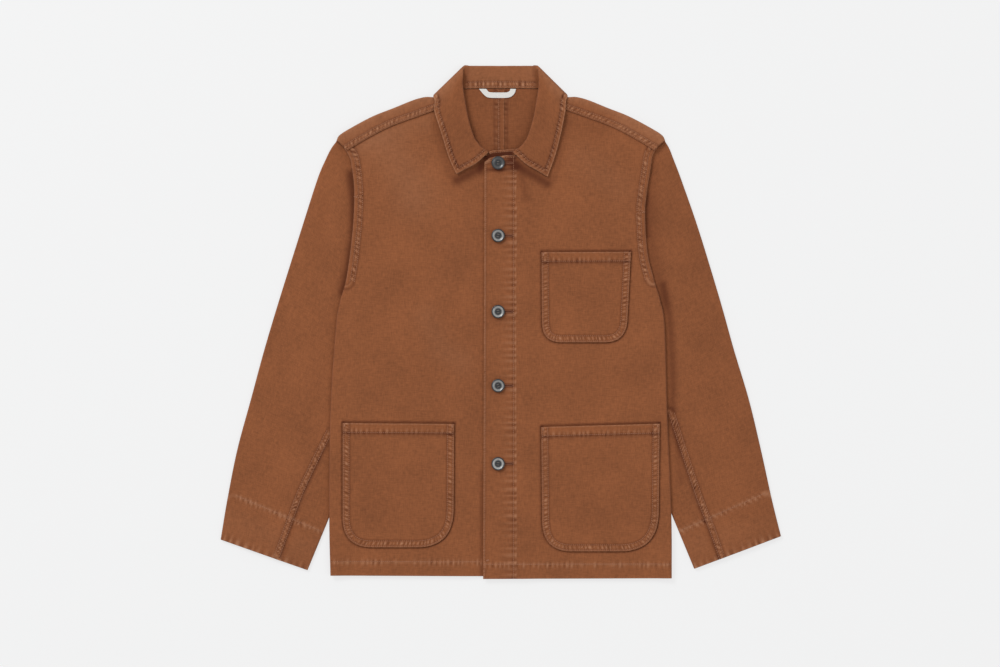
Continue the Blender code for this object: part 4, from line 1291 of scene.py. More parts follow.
def sleeve_rings(side):
    edge = through(BODY_EDGE[side])
    outer_line = through(SLEEVE_OUTER[side])
    total = lengths_of(outer_line)[-1]
    share = graded(total, ((total - 80, 3.0), (total - 4, 2.2), (total, 1.0)))
    outer = at_shares(outer_line, share)
    top_in, cuff_in = np.array(SLEEVE_START, float), np.array(CUFF_IN[side], float)
    inner = top_in + (cuff_in - top_in) * (share ** SLEEVE_LEAN)[:, None]
    outer[0] += SLEEVE_HEAD
    inner[0] += SLEEVE_HEAD
    turn = np.radians(np.linspace(-90, 90, TURN_STEPS))
    across = graded(1, ((0.12, 0.012), (1, 0.0185)))[1:]
    under = np.linspace(0, 1, UNDER_STEPS + 2)[1:-1]
    rings, weights = [], []
    for o, i in zip(outer, inner):
        width = np.linalg.norm(i - o)
        along = (i - o) / width
        shown = crossing(o, i, edge) * width - EDGE_CLEAR
        bare = smoothstep(4, 24, i[0] - BODY_EDGE[side][1][0])
        more = SLEEVE_EDGE - SLEEVE_HIDDEN
        r_in = float(SLEEVE_HIDDEN + more * bare) / 2
        r_out = float(SLEEVE_HIDDEN + more * smoothstep(8, 60, shown)) / 2
        shown = min(max(shown, 2 * r_out + 2), width - r_in - 2 * EDGE_CLEAR)
        swell = SLEEVE_CROWN * float(smoothstep(10, 70, shown))
        hidden = np.linspace(0, 1, 7)[1:-1]
        reach = np.concatenate([
            r_out * (1 - np.cos(turn)), r_out + (shown - r_out) * across,
            shown + (width - r_in - shown) * hidden,
            width - r_in * (1 - np.cos(turn[::-1])),
            width - r_in + (r_in + r_out - width) * under])
        height = np.concatenate([
            r_out * (1 + np.sin(turn)),
            2 * r_out + 2 * (r_in - r_out) * across + swell * np.sin(np.pi * across),
            np.full(len(hidden), 2 * r_in), r_in * (1 + np.sin(turn[::-1])),
            np.zeros(len(under))])
        free = float(smoothstep(-2, 6, -i[1] + BODY_EDGE[side][0][1] + 12)) if bare else 0.0
        fade = smoothstep(0.0, 0.06, across) * (1 - (1 - max(free, float(bare)) * 0.8)
                                                * smoothstep(0.93, 1.0, across))
        plan = (o + along * reach[:, None]) * (SIGN[side], 1)
        rings.append(np.column_stack([plan, height]))
        weights.append(np.concatenate([
            np.zeros(TURN_STEPS), fade, np.zeros(len(hidden) + TURN_STEPS + UNDER_STEPS)]))
    return np.array(rings), np.array(weights)


sleeve_grids = {side: sleeve_rings(side) for side in SIGN}
print("rings of a sleeve, points in each:", sleeve_grids["right"][1].shape)

# %% Both sleeves
for side, (rings, weights) in sleeve_grids.items():
    flat = rings.reshape(-1, 3)
    own, worn_and_lit, dark = relief(flat[:, :2], SEAMS_SLEEVE[side])
    soft = crease_rise(flat[:, :2], SLEEVE_CREASES, SIGN[side])
    flat[:, 2] += (own + soft) * weights.ravel()
    # painted shade and painted light from the bands join the marks
    tone = shade(flat[:, :2], PAINTED_SHADING_AND_WEAR["sleeve_" + side])
    worn_and_lit, dark = worn_and_lit + np.clip(-tone, 0, 1), dark + np.clip(tone, 0, 1)
    quads, rows, cols = grid_quads(np.ones(rings.shape[:2], bool), ring=True)
    rise = facing_up(flat, quads)
    quads, rows, cols = wound(quads, rows, cols, (rise * (flat[:, 2] - SLEEVE_EDGE / 2)).sum() >= 0)
    uv = flat_uv(np.concatenate([rings, rings[:, :1]], 1))[rows, cols]
    shown = flat[:, 2] > 1.0
    pieces["sleeve_" + side] = cloth_piece(
        "sleeve_panel_" + side, flat, quads, uv, worn_and_lit=worn_and_lit * shown, dark=dark * shown)
    tell(pieces["sleeve_" + side])

# %% [markdown]
# ## The collar
#
# The collar is two layers folded along the roll line: a stand that is sewn to the neck,
# and a leaf that falls over it. It is made from sections, each running from the neck
# seam round the roll line to the leaf's free edge, from one front round to the other.

# %% Collar sections
def lerp(a, b, share):
    return a + (b - a) * share


def unit(vector):
    return vector / np.linalg.norm(vector)


def lifted(point, z):
    return np.array([point[0], point[1], z], float)


STAND_SHARES, LEAF_SHARES = (0.0, 0.35, 0.7), (0.35, 0.7, 1.0)      # places across each


def collar_section(roll, seam_at, edge, facing):
    half = PACKET / 2
    tip = unit(unit(roll - seam_at) + unit(roll - edge))
    centre = roll - tip * half
    points = [lerp(seam_at, centre, share) + facing * half for share in STAND_SHARES]
    for angle in (90, 45, 0, -45, -90):
        turn = math.radians(angle)
        points.append(centre + half * (tip * math.cos(turn) + facing * math.sin(turn)))
    points += [lerp(centre, edge, share) - facing * half for share in LEAF_SHARES]
    return np.array(points)


def collar_half(side):
    """Sections of one half, from the centre back round to the front end."""
    up = np.array([0.0, 0.0, 1.0])
    low, middle = LEAF - GAP, LEAF + SHOULDER / 2
    high, parts = 2 * middle - low, UNDER_PARTS
    neck = at_shares(through(BACK_NECK), np.arange(parts + 1) / parts)
    out = FOLD_OUT
    fold_roll = lifted(COLLAR_CORNER, 0) - out * (COLLAR_PINCH + PACKET / 2)
    fold_edge = lifted(LEAF_EDGE[side][0], 0) - out * (middle - low + PACKET / 2)
    fold_seam = lifted(neck[0], 0) + NECK_TURN * 2 * SEAM_CLEAR
    low_roll = fold_roll - COLLAR_SLIDE + up * (middle - COLLAR_PINCH)
    sections = []
    for k in range(parts, -1, -1):
        share = 1 - k / parts
        roll = lerp(np.array([0, COLLAR_CORNER[1], low]), low_roll, share)
        seam_at = np.array([neck[k][0] * (k < parts), neck[k][1] + SEAM_CLEAR, low])
        if k == 0:
            seam_at = fold_seam + up * low
        edge = lerp(np.array([0, LEAF_BACK_UP, low]), fold_edge - COLLAR_SLIDE + up * low, share)
        sections.append(collar_section(roll, seam_at, edge, up))
    for angle in TURNING:
        turn = math.radians(angle)
        reach = out * math.cos(turn) + up * math.sin(turn)
        slide = COLLAR_SLIDE * math.sin(turn)
        sections.append(collar_section(
            fold_roll + up * middle + reach * COLLAR_PINCH + slide,
            fold_seam + up * middle + reach * (middle - low),
            fold_edge + up * middle + reach * (middle - low) + slide, -reach))
    front_neck = at_shares(through(FRONT_NECK), np.arange(8) / 7)
    lap = front_neck[0] + unit(np.array(SHOULDER_FOLD[-1]) - front_neck[0]) * 8.0
    path = np.vstack([neck[0], lap, front_neck])
    shares = lengths_of(path) / lengths_of(path)[-1]
    start = fold_roll + up * (middle + COLLAR_PINCH) + COLLAR_SLIDE
    fold_edge = fold_edge + COLLAR_SLIDE
    rolls = at_shares(through([start] + [np.array(p, float) for p in ROLL]), shares)
    edges = at_shares(through([fold_edge[:2]] + [np.array(p, float) for p in LEAF_EDGE[side][1:]]),
                      shares)
    inward = inward_normals(path, (0, 290))
    for k, share in enumerate(shares):
        strip = GAP + CLOTH if path[k][1] > SHOULDER_SEAM[-1][1] - 1 else 0.0
        clear = GAP + 0.8 * float(smoothstep(0, 0.3, share))
        at = path[k] + inward[k] * (SEAM_CLEAR + 0.8 * float(smoothstep(0.6, 1, share)))
        level = float(front_level(at * (SIGN[side], 1), side)) + strip
        seam_at = lifted(at, level + clear)
        on_strip = (GAP + CLOTH) * float(1 - smoothstep(0.15, 0.5, share))
        level = float(front_level(edges[k] * (SIGN[side], 1), side)) + on_strip
        edge = lifted(edges[k], level + clear)
        roll = rolls[k] + up * (LAP_RISE * share ** 2 if side == "left" else 0)
        if k == 0:
            seam_at, edge = fold_seam + up * high, fold_edge + up * high
        sections.append(collar_section(roll, seam_at, edge, -up))
    sections[-1][-3:-1, 1] -= (3.6, 1.5)      # the leaf's front end bows a little
    return np.array(sections) * (SIGN[side], 1, 1)


half_right, half_left = collar_half("right"), collar_half("left")
print("sections of half a collar, points in each:", half_right.shape[:2])


# %% Finer sections, without overshoot
def centripetal(sections, spacing):
    """More sections between unevenly spaced ones, without overshoot."""
    flat = sections.reshape(len(sections), -1)
    p = np.vstack([2 * flat[0] - flat[1], flat, 2 * flat[-1] - flat[-2]])
    t = np.append(0, np.cumsum(np.sqrt(np.linalg.norm(np.diff(p, axis=0), axis=1))))
    rows = []
    for k in range(1, len(p) - 2):
        t0, t1, t2, t3 = t[k - 1:k + 3]
        gap = np.linalg.norm((p[k + 1] - p[k]).reshape(-1, 3), axis=1).max()
        count = max(2, round(gap / spacing))
        for s in t1 + (t2 - t1) * np.arange(count) / count:
            a = [((t1 - s) * p[k - 1] + (s - t0) * p[k]) / (t1 - t0),
                 ((t2 - s) * p[k] + (s - t1) * p[k + 1]) / (t2 - t1),
                 ((t3 - s) * p[k + 1] + (s - t2) * p[k + 2]) / (t3 - t2)]
            b = [((t2 - s) * a[0] + (s - t0) * a[1]) / (t2 - t0),
                 ((t3 - s) * a[1] + (s - t1) * a[2]) / (t3 - t1)]
            rows.append(((t2 - s) * b[0] + (s - t1) * b[1]) / (t2 - t1))
    rows.append(p[-2])
    return np.array(rows).reshape(len(rows), -1, 3)


sections = centripetal(np.concatenate([half_right[:0:-1], half_left]), 2.3)
print("sections of the whole collar:", len(sections))

# %% The collar's grid, and the lines of its seams
across = np.concatenate([np.linspace(0, 0.86, 46), np.linspace(0.88, 0.985, 10), [0.993, 1.0]])
collar_grid = np.array([at_shares(through(section, 10), across) for section in sections])
SEAMS_COLLAR = []
for k, half in enumerate((half_right, half_left)):
    free_edge = centripetal(half[FIRST_FRONT - 1:, -1:], 2.0)[:, 0, :2]
    front_end = half[-1][3:, :2][::-1]
    whole = np.vstack([free_edge, front_end[1:]])
    SEAMS_COLLAR.append(seam(whole, (6.8,), lift=0.25, pucker=1.1, spacing=6.0, reach=2.4,
                             edge=0.9, wear=1.1, dark=0.6, seed=71 + k, slant=0.6))
neck_seam = np.vstack([signed("right", through(BACK_NECK)), signed("left", through(BACK_NECK))[::-1]])
STAND_PAINTED_LIGHT = 0.10         # painted light: the stand tilts up towards the lamps
STAND_UP, STAND_HALF = 345, 52      # the stand shows above the one, within the other
# painted shade on the leaf's points, along the roll and at the stand's ends; painted light at the back
# corners
COLLAR_PAINTED_SHADING = (         # (line, width, amount), the same on both halves
    ([(90, 270), (70, 236)], 20.0, 0.15),
    ([(60, 360), (62, 300), (44, 262)], 9.0, 0.10),
    ([(60, 380), (96, 344)], 13.0, -0.22),
    ([(50, 382), (53, 356)], 4.0, 0.35),
)
SEAM_STAND = [seam(neck_seam, (3.0, 9.6), lift=0.3, pucker=0.6, spacing=6.4, reach=2.0,
                   edge=0.4, wear=1.0, seed=73, inside=lambda p: 1.0 * (p[:, 1] > STAND_UP))]
print("points of the collar:", collar_grid.shape[:2])

# %% The collar piece
flat = collar_grid.reshape(-1, 3)
quads, rows, cols = grid_quads(np.ones(collar_grid.shape[:2], bool))
rise = facing_up(flat, quads)
outwards = (rise * (flat[:, 2] > 8)).sum() >= 0
quads, rows, cols = wound(quads, rows, cols, outwards)
rise = rise if outwards else -rise
top = smoothstep(0.5, 0.9, rise)
own, worn_and_lit, dark = relief(flat[:, :2], SEAMS_COLLAR)
own_stand, worn_stand, dark_stand = relief(flat[:, :2], SEAM_STAND)
back_part = (flat[:, 1] > STAND_UP) & (abs(flat[:, 0]) < STAND_HALF)
own, worn_and_lit, dark = (np.where(back_part, b, a) for a, b in
                   ((own, own_stand), (worn_and_lit, worn_stand), (dark, dark_stand)))
# painted light and shade from the bands, and the stand's painted light, join the marks
tone = shade(flat[:, :2], [(np.array(line) * (way, 1), width, amount)
                           for line, width, amount in COLLAR_PAINTED_SHADING for way in (-1, 1)])
worn_and_lit = worn_and_lit + STAND_PAINTED_LIGHT * back_part + np.clip(-tone, 0, 1)
dark = dark + np.clip(tone, 0, 1)
uv = flat_uv(collar_grid)[rows, cols]
flat[:, 2] = np.maximum(flat[:, 2] + own * top, 0.0)
pieces["collar"] = cloth_piece("collar_folded", flat, quads, uv, worn_and_lit=worn_and_lit * top, dark=dark * top,
                               thickness=DOUBLED, even=False)
tell(pieces["collar"])

# %% [markdown]
# ## The patch pockets
#
# A patch pocket is a flat piece with its edges turned under and two rows of stitching
# round three sides. Rings of points follow its rounded outline where the stitching is,
# and a plain grid fills the middle. It lies on the front's own folds.

# %% Seams and height of a pocket
POCKET_TOP_HEM = 13.5     # from the mouth down to its row of stitches
RING_INSETS = (0, 0.5, 1.1, 1.8, 2.6, 3.6, 4.8, 6.1, 7.4, 8.7, 10.0, 11.4, 13.0, 15.0, 18.0, 22.0)


def pocket_seams(name, size):
    top = pocket_lines(size)[0]
    seed = 80 + 3 * list(POCKETS).index(name)
    return [
        seam(pocket_rim(size), (2.0, 9.6), lift=0.45, pucker=0.9, spacing=6.0, reach=0.2,
             edge=0.45, wear=0.85, slant=0.3, seed=seed),
        seam(top, (POCKET_TOP_HEM,), lift=0.4, pucker=0.4, spacing=7.5, reach=4.0, edge=0.5,
             wear=0.55, dark=0.45, seed=seed + 1),
    ]


def pocket_height(points, name):
    side = POCKETS[name]["side"]
    own, _, _ = relief(points, pocket_seams(name, POCKETS[name]))
    return front_level(points, side) + fullness(points, side) + GAP + CLOTH + own


print("seams of a pocket:", len(pocket_seams("pocket_chest", POCKETS["pocket_chest"])))

# %% The pockets
TOPS, SIDES = 72, 78      # quads along the top and along a side


def pocket_piece(name):
    size, tops, sides = POCKETS[name], TOPS, SIDES
    rings = []
    for inset in RING_INSETS:
        lines = [at_shares(line, np.linspace(0, 1, count + 1)) for line, count in
                 zip(pocket_lines(size, inset), (tops, sides, tops, sides))]
        top, outer, foot, inner = lines
        rings.append(np.vstack([top[:-1], outer[:-1], foot[::-1][:-1], inner[::-1][:-1]]))
    loop = len(rings[0])
    points = [np.vstack(rings)]
    quads, _, _ = grid_quads(np.ones((len(rings), loop), bool), ring=True)
    v = np.linspace(0, 1, sides + 1)
    fill = patch(inner[::-1], outer[::-1], foot, top, v)
    # the fill's rim is the last ring; only its inside is new
    number = np.full(fill.shape[:2], -1)
    base = (len(rings) - 1) * loop
    number[-1, :] = base + np.arange(tops + 1)
    number[::-1, -1] = base + tops + np.arange(sides + 1)
    number[0, ::-1] = base + tops + sides + np.arange(tops + 1)
    number[:, 0] = base + (2 * tops + sides + np.arange(sides + 1)) % loop
    inside = fill[1:-1, 1:-1]
    number[1:-1, 1:-1] = len(points[0]) + np.arange(inside.shape[0] * inside.shape[1]).reshape(
        inside.shape[:2])
    points = np.vstack(points + [inside.reshape(-1, 2)])
    more = np.stack([number[:-1, :-1], number[:-1, 1:], number[1:, 1:], number[1:, :-1]],
                    -1).reshape(-1, 4)
    quads = np.vstack([quads, more])
    spatial = np.column_stack([points, pocket_height(points, name)])
    a, b, c = (spatial[quads[:, k]] for k in range(3))
    wrong = np.cross(b - a, c - b)[:, 2] < 0
    quads[wrong] = quads[wrong][:, ::-1]
    under_hem = pocket_lines(size)[0] - (0, POCKET_TOP_HEM + 2.6)
    # painted shadow under the top hem's row, and painted shade darker towards the pocket's bottom
    worn_and_lit, dark = marked(points, pocket_seams(name, size),
                        [(under_hem, 2.4, 0.32), (pocket_lines(size, 60)[2], 50.0, 0.04)])
    return cloth_piece(name + "_patch", spatial, quads, points[quads], worn_and_lit=worn_and_lit, dark=dark)


for name in POCKETS:
    pieces[name] = pocket_piece(name)
    tell(pieces[name])

# %% [markdown]
# ## Laying small things on the cloth
#
# Stitches, tacks, buttonholes and the loop follow the cloth wherever it rises and dips.
# A straight drop from above finds the cloth's face and its slope at any place, and
# one from below does the same for the underside.

# %% Find the face of a piece by dropping onto it
from mathutils import Matrix, Vector
from mathutils.bvhtree import BVHTree

FAR_OFF = 0.2             # metres above or below the cloth, where a drop starts


def trees_of(*names):
    found = []
    for name in names:
        mesh = pieces[name].data
        corners = [v.co for v in mesh.vertices]
        found.append(BVHTree.FromPolygons(corners, [tuple(f.vertices) for f in mesh.polygons]))
    return found


def drop(trees, x, y, above=True):
    """Place and normal on the nearest face under (x, y), in millimetres, or None."""
    way = -1.0 if above else 1.0
    best = None
    for tree in trees:
        place, normal, _, _ = tree.ray_cast(Vector((x * MM, y * MM, -way * FAR_OFF)), Vector((0, 0, way)))
        if place is not None and (best is None or (place.z - best[0].z) * way < 0):
            best = place / MM, normal
    return best


# %% [markdown]
# ## Stitches
#
# Twin rows of thick thread hold every seam. One stitch is modelled by hand: a short
# round bar whose two ends are drawn in where the thread dives into the cloth. It is
# then laid along every row, a little uneven in length and direction, as real ones are.

# %% Model one stitch
STITCH_LONG, STITCH_THICK, STITCH_PITCH = 2.3, 0.78, 3.1


def face_picker(item, pick):
    """Select only the faces whose normal and centre pass the test."""
    bpy.ops.mesh.select_mode(type="FACE")
    bpy.ops.mesh.select_all(action="DESELECT")
    work = bmesh.from_edit_mesh(item.data)
    for face in work.faces:
        face.select_set(bool(pick(face.normal, face.calc_center_median())))
    work.select_flush(True)
    bmesh.update_edit_mesh(item.data)


def pick_from(item, kind, passes):
    """Select only the corners (VERT) or the edges (EDGE) that pass the test."""
    bpy.ops.mesh.select_mode(type=kind)
    bpy.ops.mesh.select_all(action="DESELECT")
    work = bmesh.from_edit_mesh(item.data)
    for part in work.verts if kind == "VERT" else work.edges:
        part.select_set(bool(passes(part)))
    if kind == "VERT":
        work.select_flush_mode()
    bmesh.update_edit_mesh(item.data)


def settle(item):
    """Leave edit mode with the object at the origin and its place in the mesh."""
    if item.mode == "EDIT":
        bpy.ops.object.mode_set(mode="OBJECT")
    activate(item)
    bpy.ops.object.transform_apply(location=True, rotation=True, scale=True)


one_stitch = start_from(
    bpy.ops.mesh.primitive_cylinder_add, "one_stitch", vertices=5, radius=STITCH_THICK / 2 * MM,
    depth=0.6 * STITCH_LONG * MM, rotation=(0, math.pi / 2, 0))
activate(one_stitch)
bpy.ops.object.mode_set(mode="EDIT")
for way in (-1, 1):
    face_picker(one_stitch, lambda normal, centre: normal.z * way > 0.9)
    bpy.ops.mesh.extrude_region_move(
        TRANSFORM_OT_translate={"value": (way * 0.2 * STITCH_LONG * MM, 0, -0.1 * STITCH_THICK * MM)})
    bpy.ops.transform.resize(value=(0.45, 0.45, 0.45))
settle(one_stitch)
stitch_points = np.array([v.co for v in one_stitch.data.vertices]) / MM
stitch_faces = [tuple(face.vertices) for face in one_stitch.data.polygons]
bpy.data.objects.remove(one_stitch)
print("one stitch:", len(stitch_faces), "faces,", np.ptp(stitch_points, axis=0).round(2), "mm")


# %% Lay stitches along the rows of every seam
def lay_stitches(name, places):
    """One mesh of stitches from (place, along, normal, length) rows, in millimetres."""
    turned = []
    for place, along, normal, size in places:
        along = along / np.linalg.norm(along)
        across = np.cross(normal, along)
        across /= np.linalg.norm(across)
        turned.append(stitch_points @ np.array([along * size, across, np.cross(along, across)]) + place)
    count = len(stitch_points)
    faces = [tuple(i + k * count for i in face) for k in range(len(places)) for face in stitch_faces]
    mesh = bpy.data.meshes.new(name)
    mesh.from_pydata((np.vstack(turned) * MM).tolist(), [], faces)
    mesh.polygons.foreach_set("use_smooth", np.ones(len(faces), bool))
    mesh.materials.append(sewing_thread)
    return linked(name, mesh)


PROUD, SUNK = 0.22, -0.52      # the underside's stitches are pressed into the cloth
STEEP = 0.45                   # no stitch lies where the cloth is steeper than this


def row_places(trees, line, draw, above=True):
    """Stitch places along one plane line, where the cloth is under it."""
    total = lengths_of(line)[-1]
    count = max(2, int(total / STITCH_PITCH))
    middles = (np.arange(count) + 0.5) / count
    places = at_shares(line, middles)
    ends = at_shares(line, np.clip(middles + 0.5 / total, 0, 1)) - at_shares(
        line, np.clip(middles - 0.5 / total, 0, 1))
    found = []
    for (x, y), (dx, dy) in zip(places, ends):
        hit = drop(trees, x, y, above)
        size, swing = draw.uniform(0.88, 1.06), draw.uniform(-0.10, 0.10)
        if hit is None or abs(hit[1].z) < STEEP:
            continue
        normal = np.array(hit[1]) * (1 if (hit[1].z > 0) == above else -1)
        along = np.array([dx - swing * dy, dy + swing * dx, 0.0])
        along -= normal * (along @ normal)
        found.append((np.array(hit[0]) + normal * (PROUD if above else SUNK), along, normal, size))
    return found


stitches = {}


def sew(name, on, seams, seed, above=True, keep=None):
    """All the stitches of some seams: each row is offset from its seam's line."""
    draw = np.random.default_rng(seed)
    trees, places = trees_of(on), []
    for s in seams:
        line = at_shares(s["line"], np.linspace(0, 1, max(3, int(lengths_of(s["line"])[-1] / 4))))
        for row in (row for row in s["rows"] if row > 1):
            for way in (-1, 1):
                moved = line + way * row * inward_normals(line, (0, 1e5))
                gap, _ = measure(s["line"], moved)
                inside = np.ones(len(moved)) if s["inside"] is None else s["inside"](moved)
                good = (gap > row - 0.4) & (inside > 0.5)
                if keep is not None:
                    good &= keep(moved)
                for part in np.split(np.arange(len(moved)), np.nonzero(np.diff(good))[0] + 1):
                    if len(part) > 1 and good[part[0]]:
                        places += row_places(trees, moved[part], draw, above)
    stitches[name] = lay_stitches("stitches_" + name, places)


def on_front(side):
    """Rows on a front show up to the shoulder strip, and outside the lap."""
    line = np.array(SHOULDER_SEAM)[::-1]

    def shows(p):
        free = p[:, 1] < np.interp(abs(p[:, 0]), line[:, 0], line[:, 1]) - 2.5
        return free & ((p[:, 0] < -27.5) | (side == "left") | (p[:, 1] > 249))
    return shows


SHOULDER_UP = 338         # rows stop at the shoulders
for k, side in enumerate(SIGN):
    front, back, sleeve = "front_" + side, "back_" + side, "sleeve_" + side
    sew(front, front, SEAMS[front], 201 + k, keep=on_front(side))
    sew("strip_" + side, back, SEAMS_STRIP[side], 203 + k)
    sew(back, back, SEAMS_BACK[side], 205 + k, above=False, keep=lambda p: p[:, 1] < SHOULDER_UP)
    sew(sleeve, sleeve, SEAMS_SLEEVE[side], 207 + k)
sew("leaf", "collar", SEAMS_COLLAR, 209, keep=lambda p: p[:, 1] < SHOULDER_UP)
sew("stand", "collar", SEAM_STAND, 208, keep=lambda p: abs(p[:, 0]) < STAND_HALF)
for k, (name, size) in enumerate(POCKETS.items()):
    sew(name, name, pocket_seams(name, size), 210 + k)
print("stitches:", {name: len(item.data.polygons) // len(stitch_faces) for name, item in stitches.items()})

# %% Bar tacks where a seam is pulled hardest
TACK_STITCHES, TACK_PITCH = 6, 0.7


def tack_places(trees, x, y, angle):
    """Short stitches packed side by side, across the line that they hold."""
    across = np.array([math.cos(angle), math.sin(angle)])
    found = []
    for k in range(TACK_STITCHES):
        at = np.array([x, y]) + across * TACK_PITCH * (k - (TACK_STITCHES - 1) / 2)
        hit = drop(trees, *at)
        if hit is not None:
            lean = 0.25 * (-1) ** k
            along = np.array([-across[1] + lean * across[0], across[0] + lean * across[1], 0.0])
            found.append((np.array(hit[0]) + (0, 0, 0.3), along, np.array([0, 0, 1.0]), 1.15))
    return found


tacks = []
for name, size in POCKETS.items():
    for corner, way in ((size["inner"], 1), (size["outer"], -1)):
        x = SIGN[size["side"]] * (corner[0] + way * 3.0)
        tacks += tack_places(trees_of(name), x, corner[1] - 3.2, 0.5 * math.pi)
tacks += tack_places(trees_of("front_left"), -19.8, -357, 0.3)
bar_tacks = lay_stitches("bar_tacks", tacks)
print("tack stitches:", len(tacks))

# %% [markdown]
# ## Buttons
#
# The buttons are turned from smoked horn: a raised rim, a dished face and four holes.
# One is modelled from a cylinder by insets, its outer edge is rounded, and the holes
# are drilled. A pale ring on the rim is a painted highlight, which an attribute on the mesh marks.

# %% Model one button
HOLE_PITCH, HOLE_RADIUS = 3.6, 0.95
RIM_STEPS = ((1.7, 0.0), (1.3, -0.75), (1.5, -0.5), (0.8, -0.1))      # inwards, and up or down
EDGE_ROUND = 0.7
frame_button = [np.array(corner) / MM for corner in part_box("button_1")]
button_wide = frame_button[1][0] - frame_button[0][0]
button_thick = frame_button[1][2] - frame_button[0][2]

first_button = start_from(
    bpy.ops.mesh.primitive_cylinder_add, "turned_button", vertices=48, radius=button_wide / 2 * MM,
    depth=button_thick * MM, location=(0, 0, button_thick / 2 * MM))
activate(first_button)
bpy.ops.object.mode_set(mode="EDIT")
face_picker(first_button, lambda normal, centre: normal.z > 0.9)
for width, depth in RIM_STEPS:
    bpy.ops.mesh.inset(thickness=width * MM, depth=depth * MM)
face_picker(first_button, lambda normal, centre: normal.z < -0.9)
bpy.ops.mesh.inset(thickness=2.2 * MM, depth=0.0)
bpy.ops.transform.translate(value=(0, 0, 0.25 * MM))


def on_the_rim(edge):
    ends = [math.hypot(v.co.x, v.co.y) / MM for v in edge.verts]
    level = abs(edge.verts[0].co.z - edge.verts[1].co.z) < 1e-6
    return level and min(ends) > button_wide / 2 - 1.8


pick_from(first_button, "EDGE", on_the_rim)
bpy.ops.mesh.bevel(offset=EDGE_ROUND * MM, segments=3, affect="EDGES")
settle(first_button)
print("a blank button:", len(first_button.data.polygons), "faces")

# %% Drill its holes and mark where its rim gets the painted highlight
for dx in (-0.5, 0.5):
    for dy in (-0.5, 0.5):
        drill = start_from(
            bpy.ops.mesh.primitive_cylinder_add, "drill", vertices=16, radius=HOLE_RADIUS * MM,
            depth=4 * button_thick * MM, location=(dx * HOLE_PITCH * MM, dy * HOLE_PITCH * MM, 0))
        hole = first_button.modifiers.new("hole", "BOOLEAN")
        hole.object = drill
        activate(first_button)
        bpy.ops.object.modifier_apply(modifier="hole")
        bpy.data.objects.remove(drill)
activate(first_button)
bpy.ops.object.shade_smooth_by_angle(angle=math.radians(40))
# painted highlight: a pale ring between the dished face and the outer edge
rim_highlight_mark = first_button.data.attributes.new("rim", "FLOAT", "POINT")
away = [math.hypot(v.co.x, v.co.y) / MM for v in first_button.data.vertices]
rim_highlit = smoothstep(4.6, 6.3, away) * (1 - smoothstep(7.5, 8.7, away))
rim_highlight_mark.data.foreach_set("value", rim_highlit.astype(np.float32))
first_button.data.materials.append(button_horn)
print("one button:", len(first_button.data.polygons), "faces,", round(button_wide, 1), "mm wide")

# %% Model the thread that holds it
THREAD_RADIUS = 0.48
button_cross = []
for dy in (-0.5, 0.5):
    strand = start_from(
        bpy.ops.mesh.primitive_torus_add, "strand", major_radius=HOLE_PITCH / 2 * MM,
        minor_radius=THREAD_RADIUS * MM, major_segments=24, minor_segments=8,
        location=(0, dy * HOLE_PITCH * MM, 0), rotation=(math.pi / 2, 0, 0))
    strand.scale = (1, 0.55, 1)
    settle(strand)
    bpy.ops.object.mode_set(mode="EDIT")
    bpy.ops.mesh.select_all(action="SELECT")
    bpy.ops.mesh.bisect(plane_co=(0, 0, -0.4 * MM), plane_no=(0, 0, 1), clear_inner=True, use_fill=True)
    settle(strand)
    strand.data.materials.append(button_thread)
    button_cross.append(strand)
activate(button_cross[0])
button_cross[1].select_set(True)
bpy.ops.object.join()
first_cross = button_cross[0]
first_cross.name = "button_strands"
bpy.ops.object.shade_smooth()
print("thread on one button:", len(first_cross.data.polygons), "faces")

# %% Sew all five on
FACE_DEPTH = 1.35         # the dished face lies this far below the rim
buttons, strands = [], []
RIM_HIGHLIGHT_SHARE = (0.12, 0.75, 0.85, 0.7, 1.0)      # painted highlight on each rim; the top one is dim, as painted shade under the collar
TURNS = (7, -12, 4, 21, -6)                # degrees, as each happens to be sewn on
for k, up in enumerate(BUTTON_UPS, start=1):
    low, high = (np.array(corner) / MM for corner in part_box(f"button_{k}"))
    turn = Matrix.Rotation(math.radians(TURNS[k - 1]), 4, "Z")
    for first, found, name, z in ((first_button, buttons, f"horn_button_{k}", low[2]),
                                  (first_cross, strands, f"button_strands_{k}", high[2] - FACE_DEPTH)):
        mesh = first.data.copy()
        if "rim" in mesh.attributes:
            marks = np.zeros(len(mesh.vertices), np.float32)
            mesh.attributes["rim"].data.foreach_get("value", marks)
            mesh.attributes["rim"].data.foreach_set("value", marks * RIM_HIGHLIGHT_SHARE[k - 1])
        mesh.transform(Matrix.Translation(Vector((*((low + high) / 2)[:2], z)) * MM) @ turn)
        found.append(linked(name, mesh))
bpy.data.objects.remove(first_button)
bpy.data.objects.remove(first_cross)
print("buttons:", [item.name for item in buttons])

# %% [markdown]
# ## Buttonholes
#
# A buttonhole is a slit whose edges are whipped with thread, so close that it stands up
# as a bead. The bead starts as a ring and is pulled out to the length of the slit. It
# lies across the placket, and the shank of the button sits in its inner end.

